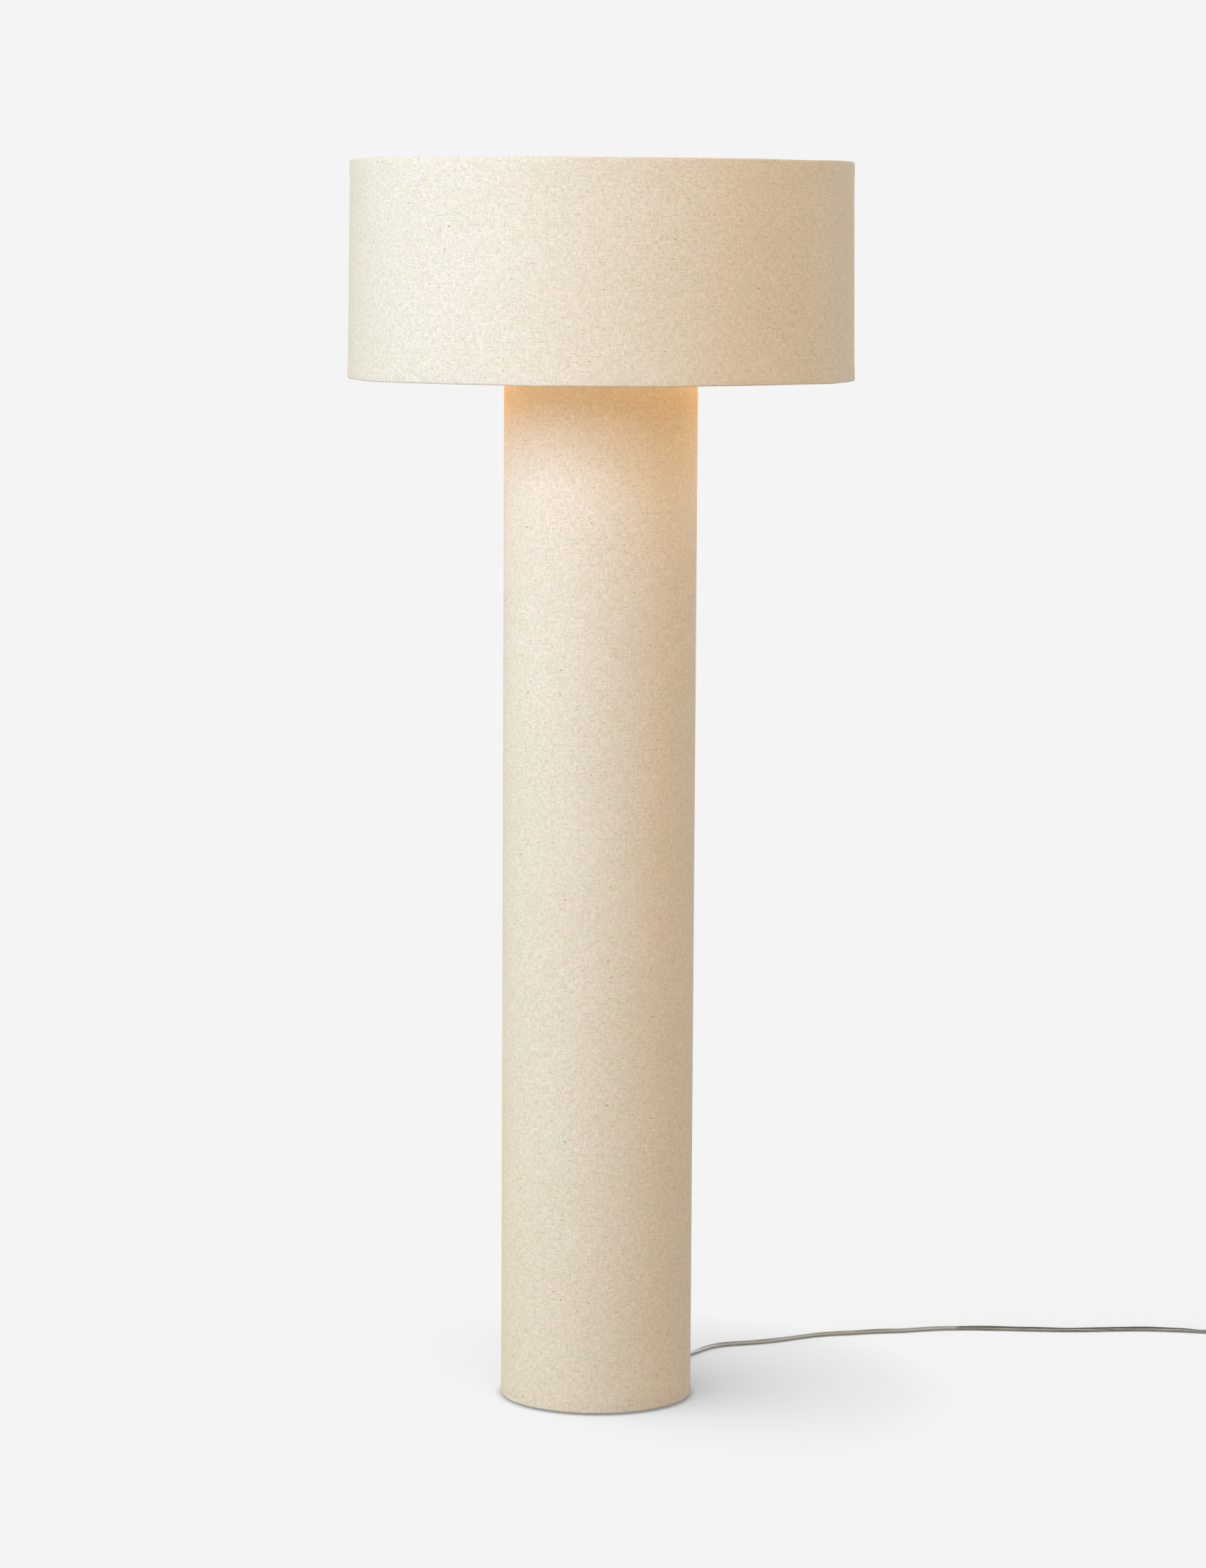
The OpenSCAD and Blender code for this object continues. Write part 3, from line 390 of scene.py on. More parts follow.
def linen_material():
    """Natural linen: an even grain, short threads both ways, darker slubs, husk flecks and soft changes of
    tone. Each darker thread is also browner, so the blue share of the colour falls faster than the red."""
    looks = bpy.context.scene.lamp_linen
    sh = Finish("natural linen", Roughness=0.92, Sheen_Weight=0.12, Sheen_Roughness=0.6, Specular_IOR_Level=0.25)
    uv = sh.cloth()
    tone = sh.span(sh.noise(uv, 9.0, 2.0), 0.35, 0.65)
    blush = sh.span(sh.noise(sh.scaled(uv, (1, 1, 1), (3.1, 7.7, 0)), 22.0, 4.0, 0.65), 0.40, 0.66, 0.0, 0.8)
    colour = sh.blend(tone, rgb(looks.cream), rgb(looks.oat))
    colour = sh.blend(blush, colour, rgb(looks.blush))
    cast = sh.span(sh.noise(sh.scaled(uv, (1, 1, 1), (8.3, 1.9, 0)), 48.0, 3.0, 0.6), 0.32, 0.68)
    colour = sh.tinted(colour, sh.blend(cast, (0.975, 0.995, 0.955, 1), (1.018, 0.998, 1.012, 1)))

    def around_one(noise, amount):
        """The noise as a factor from half the amount under 1 to half of it over 1."""
        return sh.span(noise, 0.3, 0.7, 1 - amount / 2, 1 + amount / 2)

    value = around_one(sh.noise(uv, 480.0, 2.0), looks.grain)
    for along, across, amount in ((150, 760, looks.threads), (60, 330, 0.45 * looks.threads)):
        for way in ((along, across, 1), (across, along, 1)):
            thread = sh.noise(sh.scaled(uv, way, (across, along, 0)), 1.0, 2.0)
            value = sh.times(value, around_one(thread, amount))
    for way in ((120, 1000, 1), (950, 160, 1)):
        slub = sh.span(sh.noise(sh.scaled(uv, way, (4, 6, 0)), 1.0, 1.0), 0.60, 0.76, 1.0, 1 - looks.slubs)
        value = sh.times(value, slub)
    colour = sh.tinted(colour, browned(sh, value))

    ragged = sh.node("TexNoise", {"Vector": uv, "Scale": 420.0, "Detail": 2.0}).outputs["Color"]
    stray = (0.0016, 0.0016, 0)
    strayed = sh.node("VectorMath", {0: ragged, 1: stray, 2: uv}, operation="MULTIPLY_ADD").outputs[0]
    for density, size, keep, depth, squeeze in (
            (40, 0.045, 0.74, 0.62, (0.45, 1, 1)), (44, 0.042, 0.78, 0.60, (1, 0.5, 1)),
            (120, 0.110, 0.55, 0.30, (0.6, 1, 1))):
        cells = sh.node("TexVoronoi", {
            "Vector": sh.scaled(strayed, squeeze, (density, 1.3, 0)), "Scale": float(density)},
            voronoi_dimensions="2D")
        chance = sh.node("SeparateColor", {0: cells.outputs["Color"]})
        spread = sh.span(chance.outputs[1], 0, 1, 0.35 * size, size)
        near = sh.span(sh.maths("DIVIDE", cells.outputs["Distance"], spread), 1.0, 0.5)
        picked = sh.span(chance.outputs[0], keep, keep + 0.1, 0.0, depth)
        colour = sh.blend(sh.times(near, picked), colour, rgb(looks.fleck))

    pitch = 1 / looks.thread_pitch
    part = sh.node("SeparateXYZ", {0: sh.scaled(uv, (pitch, pitch, 1))})
    waves = [sh.maths("SINE", sh.times(part.outputs[k], math.pi)) for k in (0, 1)]
    weave = sh.bump(sh.times(*waves), 0.00018, 0.55)
    nubs = sh.maths("ADD", sh.noise(sh.scaled(uv, (120, 420, 1)), 1.0, 3.0, 0.7),
                  sh.noise(sh.scaled(uv, (420, 120, 1), (5, 9, 0)), 1.0, 3.0, 0.7))
    return sh.done(colour, sh.bump(nubs, 0.0006, 0.5, weave))


def browned(sh, value):
    """A multiplier whose red follows the value less than its green does, and whose blue follows it more."""
    return sh.node("CombineColor", {
        0: sh.maths("POWER", value, 0.85), 1: value, 2: sh.maths("POWER", value, 1.45)}).outputs[0]


def cord_material():
    """Clear flat twin cord: two twisted strands under a glossy skin, one paler than the other. Along the far
    part of the run they show darker, with long painted highlights: streaks painted paler and darker where the skin
    catches the light."""
    looks = bpy.context.scene.lamp_cord
    sh = Finish("clear twin cord", Roughness=0.45, Coat_Weight=0.35, Coat_Roughness=0.2)
    uv = sh.cloth()
    part = sh.node("SeparateXYZ", {0: uv})
    along, round_ = part.outputs[0], part.outputs[1]
    far_x = sh.node("SeparateXYZ", {0: sh.coords()}).outputs[0]
    dim = sh.span(far_x, looks.dim_from - 0.004, looks.dim_from + 0.004)
    lobe = sh.span(sh.maths("SINE", sh.times(round_, TAU)), -0.15, 0.15)
    pale = sh.blend(lobe, rgb(looks.light_strand), rgb(looks.dark_strand))
    dull = sh.blend(lobe, shaded(looks.light_strand, (0.60, 0.56, 0.48)),
                    shaded(looks.dark_strand, (0.17, 0.15, 0.12)))
    colour = sh.blend(dim, pale, dull)
    lay = sh.maths("ADD", sh.times(along, TAU / STRAND_LAY), sh.times(round_, 3 * TAU))
    twist = sh.maths("SINE", lay)
    strands = sh.span(twist, -1, 1, 0.88, 1.06)
    # Painted highlights: long streaks that lighten and darken the strands, strongest on the far, darker part of the
    # run.
    painted_highlight_streak = sh.span(sh.noise(sh.scaled(uv, (26, 7, 1)), 1.0, 4.0, 0.6), 0.36, 0.64, -1, 1)
    reach = sh.span(dim, 0, 1, 0.12, 0.55)
    value = sh.maths("ADD", sh.times(painted_highlight_streak, reach), 1.0)
    colour = sh.tinted(colour, sh.grey(sh.times(strands, value)))
    return sh.done(colour, sh.bump(twist, 0.00004, 0.25))


def felt_material():
    """Black wool felt: short tangled fibres."""
    sh = Finish("wool felt", Roughness=1.0, Sheen_Weight=0.25)
    fibres = sh.noise(sh.scaled(sh.coords(), (1, 1, 3)), 900.0, 4.0)
    return sh.done(sh.blend(fibres, (0.02, 0.02, 0.02, 1), (0.09, 0.09, 0.088, 1)), sh.bump(fibres, 0.0006))


def metal_material(name, colour, roughness, grain_scale=(1, 1, 60), tarnish=0.25):
    """Metal with fine tool marks round the turned form, and a little uneven dulling."""
    sh = Finish(name, Metallic=1.0)
    marks = sh.noise(sh.scaled(sh.coords(), grain_scale), 90.0, 3.0)
    dull = sh.span(sh.noise(sh.coords(), 35.0, 4.0), 0.35, 0.7)
    rough = sh.span(sh.maths("ADD", marks, sh.times(dull, 0.5)), 0.3, 1.2, roughness * 0.75, roughness * 1.35)
    return sh.done(sh.blend(dull, rgb(colour), shaded(colour, 1 - tarnish)), sh.bump(marks, 0.00006, 0.3),
                   Roughness=rough)


def moulded_material(name, colour, roughness, speckle=0.06):
    """Moulded plastic: a faint orange-peel skin and slight clouding."""
    sh = Finish(name, Roughness=roughness)
    clouded = sh.blend(sh.noise(sh.coords(), 40.0, 3.0), shaded(colour, 1 - speckle), shaded(colour, 1 + speckle))
    return sh.done(clouded, sh.bump(sh.noise(sh.coords(), 1400.0, 2.0), 0.00004, 0.35))


def board_material(name, low, high, scale, grain=(1, 1, 1)):
    """Board, wood or fibre: two tones along its grain, with a matching relief."""
    sh = Finish(name, Roughness=0.85)
    grain_at = sh.scaled(sh.coords(), grain)
    fibre = sh.noise(grain_at, scale, 5.0, 0.65)
    broad = sh.noise(grain_at, scale / 8, 2.0)
    mixed = sh.span(sh.maths("ADD", fibre, broad), 0.7, 1.3)
    return sh.done(sh.blend(mixed, rgb(low), rgb(high)), sh.bump(fibre, 0.0003, 0.5))


def iron_material():
    """Sand-cast iron under thin black paint: grainy, with worn high spots."""
    sh = Finish("cast iron", Roughness=0.62, Metallic=0.5)
    sand = sh.noise(sh.coords(), 320.0, 5.0, 0.7)
    worn = sh.blend(sh.span(sand, 0.45, 0.75), (0.028, 0.028, 0.03, 1), (0.12, 0.115, 0.11, 1))
    return sh.done(worn, sh.bump(sand, 0.0012, 0.8))


def bulb_material():
    """Glass frosted inside and lit warm: brightest on the globe and dimmer down the neck."""
    looks = bpy.context.scene.lamp_bulbs
    sh = Finish("lit frosted glass", Roughness=0.3, Emission_Strength=looks.glass_strength)
    frost = sh.noise(sh.coords(), 700.0, 2.0)
    place = sh.node("VectorMath", {0: sh.coords()}, operation="ABSOLUTE").outputs[0]
    away = sh.node("VectorMath", {0: place, 1: tuple(globe_middle(1))}, operation="DISTANCE").outputs["Value"]
    glow = sh.blend(sh.span(away, GLOBE_R, 0.062), rgb(looks.glow), shaded(looks.glow, (0.75, 0.62, 0.42)))
    return sh.done(sh.blend(frost, (0.50, 0.45, 0.37, 1), (0.58, 0.53, 0.45, 1)),
                   sh.bump(frost, 0.00003, 0.3), Emission_Color=glow)


FINISHES = {
    "linen": (linen_material,),
    "cord": (cord_material,),
    "felt": (felt_material,),
    "iron": (iron_material,),
    "bulb": (bulb_material,),
    "brass": (metal_material, "satin brass", "brass", 0.27),
    "stamped brass": (metal_material, "stamped brass", "brass", 0.36, (20, 20, 20), 0.15),
    "steel": (metal_material, "zinc-plated steel", "steel", 0.34),
    "cap": (metal_material, "rolled aluminium cap", (0.74, 0.74, 0.73), 0.3),
    "cream paint": (moulded_material, "cream powder coat", (0.80, 0.74, 0.62), 0.45),
    "liner": (moulded_material, "white styrene", (0.86, 0.84, 0.78), 0.5, 0.03),
    "phenolic": (moulded_material, "black phenolic", (0.022, 0.02, 0.019), 0.35, 0.3),
    "ivory": (moulded_material, "ivory moulding", (0.78, 0.74, 0.64), 0.32),
    "clear grip": (moulded_material, "clouded clear vinyl", (0.44, 0.45, 0.45), 0.25),
    "plywood": (board_material, "birch plywood", (0.50, 0.34, 0.19), (0.76, 0.58, 0.38), 40.0, (1, 6, 12)),
    "fibreboard": (board_material, "wound fibreboard", (0.24, 0.16, 0.10), (0.38, 0.28, 0.18), 300.0, (1, 1, 0.3)),
    "fibre": (board_material, "vulcanised fibre", (0.15, 0.10, 0.06), (0.27, 0.19, 0.12), 500.0),
}
MADE = {}


def coat(piece, key):
    """Gives a piece the finish of that name, made when it is first asked for, in place of what it had."""
    if key not in MADE:
        maker, *values = FINISHES[key]
        if values and values[1] in ("brass", "steel"):
            values[1] = tuple(getattr(bpy.context.scene.lamp_metal, values[1]))
        MADE[key] = maker(*values)
    piece.data.materials.clear()
    piece.data.materials.append(MADE[key])


def dress(piece, finish, body, slot, *nodes):
    """Gives a made piece its finish and its body, and hides the nodes it stands for. The slot is not used."""
    coat(piece, finish)
    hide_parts(*nodes)
    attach(piece, body)


# ---------- settings ----------

# Each makes one kind of setting, from its name, its tooltip, its default and its lowest and highest value.

def colour_prop(name, description, default):
    return bpy.props.FloatVectorProperty(
        name=name, description=description, default=default, subtype="COLOR", size=3, min=0, max=1)


def length_prop(name, description, default, low=0.0, high=3.0):
    return bpy.props.FloatProperty(
        name=name, description=description, default=default, min=low, max=high, unit="LENGTH", precision=4)


def number_prop(name, description, default, low=0.0, high=100.0):
    return bpy.props.FloatProperty(name=name, description=description, default=default, min=low, max=high)


class LampLinen(bpy.types.PropertyGroup):
    """Colours and scale of the linen cloth"""

    cream: colour_prop("Cream", "Lightest tone of the cloth", (0.823, 0.777, 0.686))
    oat: colour_prop("Oat", "Darker tone of the cloth", (0.799, 0.754, 0.659))
    blush: colour_prop("Blush", "Pinkish tone that drifts through the cloth", (0.817, 0.749, 0.663))
    fleck: colour_prop("Fleck", "Colour of the husk flecks", (0.22, 0.10, 0.035))
    grain: number_prop("Grain", "Contrast of the cloth's even grain", 0.09, 0, 1)
    threads: number_prop("Threads", "Contrast of the paler and darker threads", 0.165, 0, 1)
    slubs: number_prop("Slubs", "How dark the thick short lengths of thread are", 0.27, 0, 1)
    thread_pitch: length_prop("Thread pitch", "Distance between neighbouring threads", 0.0009, 0.0003, 0.003)
    waviness: length_prop("Waviness", "How far the shade's rims wander", 0.0006, 0.0, 0.003)


class LampCord(bpy.types.PropertyGroup):
    """Size and colours of the flat twin cord"""

    width: length_prop("Width", "Width of the flat cord", 0.0072, 0.005, 0.008)
    thickness: length_prop("Thickness", "Thickness of the flat cord", 0.0036, 0.0025, 0.004)
    light_strand: colour_prop("Tinned strand", "Colour of the tinned strand", (0.395, 0.445, 0.51))
    dark_strand: colour_prop("Copper strand", "Colour of the other strand", (0.32, 0.36, 0.41))
    dim_from: length_prop("Dim from", "Where along the floor the strands start to show darker", 0.477, 0.2, 0.8)


class LampMetal(bpy.types.PropertyGroup):
    """Colours of the metal fittings"""

    brass: colour_prop("Brass", "Colour of the brass fittings", (0.70, 0.52, 0.24))
    steel: colour_prop("Steel", "Colour of the plated steel", (0.60, 0.60, 0.61))


class LampBulbs(bpy.types.PropertyGroup):
    """Light of the two bulbs"""

    glow: colour_prop("Glow", "Colour of the lit glass", (1.0, 0.79, 0.48))
    glass_strength: number_prop("Glass strength", "How bright the glass itself looks", 1.3, 0, 10)
    light: colour_prop("Light", "Colour of the light that the bulbs cast", (1.0, 0.42, 0.07))
    power: number_prop("Power", "Light cast by each bulb, in watts", 1.5, 0, 50)


class LampStage(bpy.types.PropertyGroup):
    """Light and background of the picture"""

    background: number_prop("Background", "Linear brightness of the pale background", 0.905, 0, 1)
    # The shadow and contact settings darken the floor's glow: a painted shadow beside the base and a painted
    # contact shadow under edges.
    shadow: number_prop("Shadow", "How dark the floor goes beside the base", 0.75, 0, 1)
    contact_shadow: number_prop("Contact", "How dark the floor goes right under an edge", 0.45, 0, 1)
    shadow_reach: length_prop("Shadow reach", "How far the shadow reaches over the floor", 0.34)
    ambient: colour_prop("Ambient", "Light from all round", (0.37, 0.265, 0.17))
    side: colour_prop("Side", "Wide light from the left", (0.92, 0.73, 0.12))
    key: colour_prop("Key", "Colour of the large light on the left", (0.272, 0.535, 0.94))
    key_power: number_prop("Key power", "Power of the large light on the left, in watts", 128, 0, 1000)
    front: colour_prop("Front", "Colour of the light beside the camera", (1.0, 0.67, 0.27))
    front_power: number_prop("Front power", "Power of the light beside the camera, in watts", 48, 0, 1000)
    right: colour_prop("Right", "Colour of the light on the right", (0.80, 0.84, 0.96))
    right_power: number_prop("Right power", "Power of the light on the right, in watts", 44, 0, 1000)
    back: colour_prop("Back", "Colour of the light behind the lamp", (0.85, 0.93, 1.0))
    back_power: number_prop("Back power", "Power of the light behind the lamp, in watts", 40, 0, 1000)


# ---------- linen ----------

def wander(angle, seed):
    """A slow closed wave round a rim: five sines of whole numbers of turns with set phases."""
    turns = np.array([2, 5, 9, 14, 23])
    size = np.array([0.30, 0.32, 0.24, 0.18, 0.10])
    phase = np.array([0.7, 2.1, 4.4, 1.3, 5.2]) * (1 + seed)
    return (size * np.sin(turns * angle[..., None] + phase)).sum(-1)


def cloth_tube(name, line, steps, low, high, wave, seam_angle):
    """A sheet turned round the Z axis from its middle line (radius, height), with its thickness. Near each rim
    it wanders by the wave. It stands out a little on both sides of its seam, where one end laps over the other,
    and where its hem is under it."""
    profile = thicken(line, CLOTH_T)
    angle = seam_angle + np.arange(steps) * TAU / steps
    r, z = profile[:, 0, None], profile[:, 1, None]
    middle, half = (low + high) / 2, (high - low) / 2
    from_middle = np.abs(z - middle) / half
    rim = ease((from_middle - 0.75) / 0.25) * np.sign(z - middle)
    lift = wave * rim * (wander(angle, 0.0) * (z > middle) + wander(angle, 0.37) * (z <= middle))
    lap_width = SEAM_SIDE / r.max()
    from_seam = np.minimum(angle - seam_angle, TAU - (angle - seam_angle))
    lap = SEAM_RISE * ease((lap_width - from_seam) / (lap_width * 0.25))
    hem = HEM_RISE * ease((from_middle - 1 + 0.0155 / half) / (0.002 / half))
    outside = ease((r - r.max() + 0.01) / 0.002)
    spread = r + hem + 0.5 * wave * np.abs(rim) * wander(angle, 0.21) + lap * outside
    spread = np.minimum(spread, r + MOST_RISE)
    points = np.stack([spread * np.cos(angle), spread * np.sin(angle), z + lift], -1)
    walked = walk(line)
    v = np.concatenate([walked, walked[::-1], walked[:1]])
    u = np.linspace(0, TAU * r.max(), steps + 1)
    uv = np.stack(np.broadcast_arrays(u[None, :], v[:, None]), -1)
    return grid_piece(name, points, wrap_rows=True, uv=uv)


def insert_rows(line, count):
    """Splits the line's longest stretch, the wall, into even parts."""
    longest = np.linalg.norm(np.diff(line, axis=0), axis=1).argmax()
    t = np.linspace(0, 1, count + 2)[1:-1, None]
    between = line[longest] * (1 - t) + line[longest + 1] * t
    return np.vstack([line[: longest + 1], between, line[longest + 1 :]])


def shade_r(z):
    """Radius of the shade's outer face at a height: straight from the low edge to the high one."""
    return SHADE_LOW_R - SHADE_TAPER * (z - SHADE_LOW) / (SHADE_HIGH - SHADE_LOW)


class LAMP_OT_shade_linen(bpy.types.Operator):
    """Linen of the shade: glued to the liner and turned in round both wire rings"""

    bl_idname = "lamp.shade_linen"
    bl_label = "Shade linen"

    def execute(self, context):
        half = CLOTH_T / 2
        round_wire = RING_WIRE_R + FIT + half
        inner = CLOTH_T + LINER_T + 2 * FIT + half

        def edge(ring_r, z, up):
            """From the hem's end on the liner, up to the wire, round it, to the outer face."""
            return [
                (shade_r(z) - inner, z - up * SHADE_HEM),
                (shade_r(z) - inner, z - up * (half + 5 * RING_WIRE_R)),
                (ring_r - round_wire, z - up * (half + 2.6 * RING_WIRE_R)),
                (ring_r - round_wire, z - up * half),
                (shade_r(z) - half, z - up * half)]

        top = edge(TOP_RING_R, SHADE_HIGH, 1)
        low = edge(LOW_RING_R, SHADE_LOW, -1)
        line = insert_rows(soften(top + low[::-1], 0.0019, 6), 24)
        piece = cloth_tube("shade_cloth", line, 360, SHADE_LOW, SHADE_HIGH,
                           context.scene.lamp_linen.waviness, math.pi / 2)
        dress(piece, "linen", "shade", "linen", "shade_linen")
        return {"FINISHED"}


class LAMP_OT_column_linen(bpy.types.Operator):
    """Linen of the column: glued round the tube and turned in at both ends"""

    bl_idname = "lamp.column_linen"
    bl_label = "Column linen"

    def execute(self, context):
        half = CLOTH_T / 2
        r_out, r_in = COLUMN_R - half, TUBE_BORE_R - half
        corners = [
            (r_in, COLUMN_HIGH - COLUMN_HEM), (r_in, COLUMN_HIGH - half), (r_out, COLUMN_HIGH - half),
            (r_out, COLUMN_LOW + half), (r_in, COLUMN_LOW + half), (r_in, COLUMN_LOW + COLUMN_HEM)]
        line = insert_rows(soften(corners, 0.0014, 5), 70)
        piece = cloth_tube("column_cloth", line, 240, COLUMN_LOW, COLUMN_HIGH,
                           0.4 * context.scene.lamp_linen.waviness, math.pi / 2)
        dress(piece, "linen", "lamp", "linen", "column_linen")
        return {"FINISHED"}


class LAMP_OT_felt(bpy.types.Operator):
    """Round felt pad under the column"""

    bl_idname = "lamp.felt"
    bl_label = "Felt pad"

    def execute(self, context):
        low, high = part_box("felt_pad")
        r, t = high.x, high.z - low.z
        profile = soften([(0, 0), (r, 0), (r, t), (0, t)], 0.0007)
        outward = (0.0, 0.3, 0.6, 0.85)
        rings = np.vstack([[(r * k, 0) for k in outward], profile[1:-1], [(r * k, t) for k in outward[::-1]]])
        piece = turned("felt", rings, 160)
        dress(piece, "felt", "lamp", "felt", "felt_pad")
        return {"FINISHED"}


# ---------- cord ----------

def coil_points():
    """The coil's turns on edge. Lower layer: three turns from the outer row in. The cord then climbs and the
    upper layer runs out again, two and a half turns. It changes rows and layers in set parts of a turn."""
    turn = np.linspace(0, 5.5, 5 * 72 + 37)
    outer, pitch = COIL_ROWS_R[0], COIL_ROWS_R[0] - COIL_ROWS_R[1]
    shift_in = ease((turn - 0.84) / 0.16) + ease((turn - 1.84) / 0.16)
    shift_out = ease((turn - 3.50) / 0.16) + ease((turn - 4.50) / 0.16)
    radius = outer - pitch * (shift_in - shift_out)
    height = COIL_LAYERS_Z[0] + (COIL_LAYERS_Z[1] - COIL_LAYERS_Z[0]) * ease((turn - 2.66) / 0.18)
    angle = math.pi / 2 - TAU * turn
    return np.column_stack([COIL_AT + radius[:, None] * arc(1, angle), height])


def cord_line():
    """The whole cord's middle line, and its turn about itself in radians: a lean that comes and goes over the
    floor, and on edge in the coil. Where it leans, its middle rises so that its low side stays on the floor."""
    floor = [[x, y, CORD_LIE] for x, y in FLOOR_RUN]
    run = smooth_line(COME_DOWN + floor + TO_SWITCH, CORD_STEP)
    coil = coil_points()
    tail = smooth_line(TO_COIL + [coil[0]], CORD_STEP)
    end = smooth_line([coil[-1]] + TO_PLUG, CORD_STEP)
    through = np.linspace(run[-1], tail[0], 16)[1:-1]
    line = np.vstack([run, through, tail[:-1], coil, end[1:]])
    rise = ease(np.linspace(0, 1.15, len(tail) - 1))
    fall = ease(np.linspace(1.0, -0.15, len(end) - 1))
    turn = np.concatenate([np.zeros(len(run) + 14), rise, np.ones(len(coil)), fall]) * math.pi / 2
    x = run[:, 0]
    lean = ease((x - 0.118) / 0.03) * ease((0.800 - x) / 0.03) * (
        0.42 + 0.10 * np.sin(TAU * x / 0.173 + 0.8) + 0.06 * np.sin(TAU * x / 0.071))
    turn[: len(run)] = lean
    line[: len(run), 2] += LOBE_REACH * np.sin(lean)
    return line, turn


class LAMP_OT_cord(bpy.types.Operator):
    """Flat twin cord: from the strain relief over the floor, through the switch, into the coil, to the plug"""

    bl_idname = "lamp.cord"
    bl_label = "Cord"

    def execute(self, context):
        looks = context.scene.lamp_cord
        line, turn = cord_line()
        r = looks.thickness / 2
        reach = looks.width / 2 - r
        lobe = arc(r, np.linspace(-2.62, 2.62, 11)) + [reach, 0]
        outline = np.vstack([lobe, -lobe])
        points = carried(line, outline, turn)
        walked = walk(line)
        share = np.linspace(0, 1, len(outline) + 1)
        uv = np.stack(np.broadcast_arrays(walked[:, None], share[None, :]), -1)
        piece = grid_piece("cord", points, uv=uv, caps=True)
        dress(piece, "cord", "lamp", "clear_pvc", "cord_run", "cord_tail", "cord_coil", "cord_end")
        return {"FINISHED"}


class LAMP_OT_strain_relief(bpy.types.Operator):
    """Tapered, ribbed boot where the cord leaves the column"""

    bl_idname = "lamp.strain_relief"
    bl_label = "Strain relief"

    def execute(self, context):
        inside, inner_face, face, tip = 0.1098, 0.1117, COLUMN_R + FIT, BOOT_TIP_R
        flange_r, neck_r = 0.009, 0.0065
        profile = [(0, inside), (flange_r, inside), (flange_r, inner_face), (neck_r, inner_face), (neck_r, face),
                   (flange_r, face), (flange_r, face + 0.002), (neck_r + FIT, face + 0.0022)]
        start, ribs = face + 0.004, 6
        step = (tip - 0.002 - start) / ribs
        for k in range(ribs):
            wide = 0.0061 - 0.0016 * k / (ribs - 1)
            narrow, at = wide - 0.0011, start + k * step
            profile += [(wide, at), (wide, at + 0.55 * step), (narrow, at + 0.6 * step), (narrow, at + 0.95 * step)]
        profile += [(0.0044, tip), (0, tip)]
        piece = turned("boot", soften(profile, 0.0004, 4), 48, (0, 0, EXIT_Z), EXIT_OUT)
        dress(piece, "clear grip", "lamp", "clear_pvc", "strain_relief")
        return {"FINISHED"}


class LAMP_OT_coil_tie(bpy.types.Operator):
    """Band round the coil's turns on its far side"""

    bl_idname = "lamp.coil_tie"
    bl_label = "Coil tie"

    def execute(self, context):
        low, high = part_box("cord_tie")
        middle = (low + high) / 2
        wide, tall, t = high.x - low.x, high.z - low.z, 0.0008
        loop = rounded_box(wide / 2 - t / 2, tall / 2 - t / 2, 0.003, 7)
        out = unit(loop)
        band = rounded_box(0.0045, t / 2, 0.0003, 3)
        y = middle.y + band[None, :, 0] + 0 * loop[:, :1]
        x = middle.x + loop[:, :1] + out[:, :1] * band[None, :, 1]
        z = middle.z + loop[:, 1:] + out[:, 1:] * band[None, :, 1]
        piece = grid_piece("coil_tie", np.stack([x, y, z], -1), wrap_rows=True)
        dress(piece, "phenolic", "lamp", "phenolic", "cord_tie")
        return {"FINISHED"}


# ---------- foot switch and plug ----------

def inset_rows(length, width, layers):
    """Rows of (length, width, height): a length and width less twice the inset of each layer (inset, height)."""
    return [(length - 2 * inset, width - 2 * inset, height) for inset, height in layers]


def stacked(name, rows, at, upright=True, hollow=False):
    """A form stacked from stadium outlines, each (length, width, height). The first and last are closed by a
    fan, or joined to each other where the form is hollow and open in the middle."""
    rings = np.array([np.insert(stadium(length, width), 2, height, 1) for length, width, height in rows])
    if not upright:
        rings = rings[..., [2, 0, 1]]
    return grid_piece(name, rings + np.asarray(at), wrap_rows=hollow, caps=not hollow)


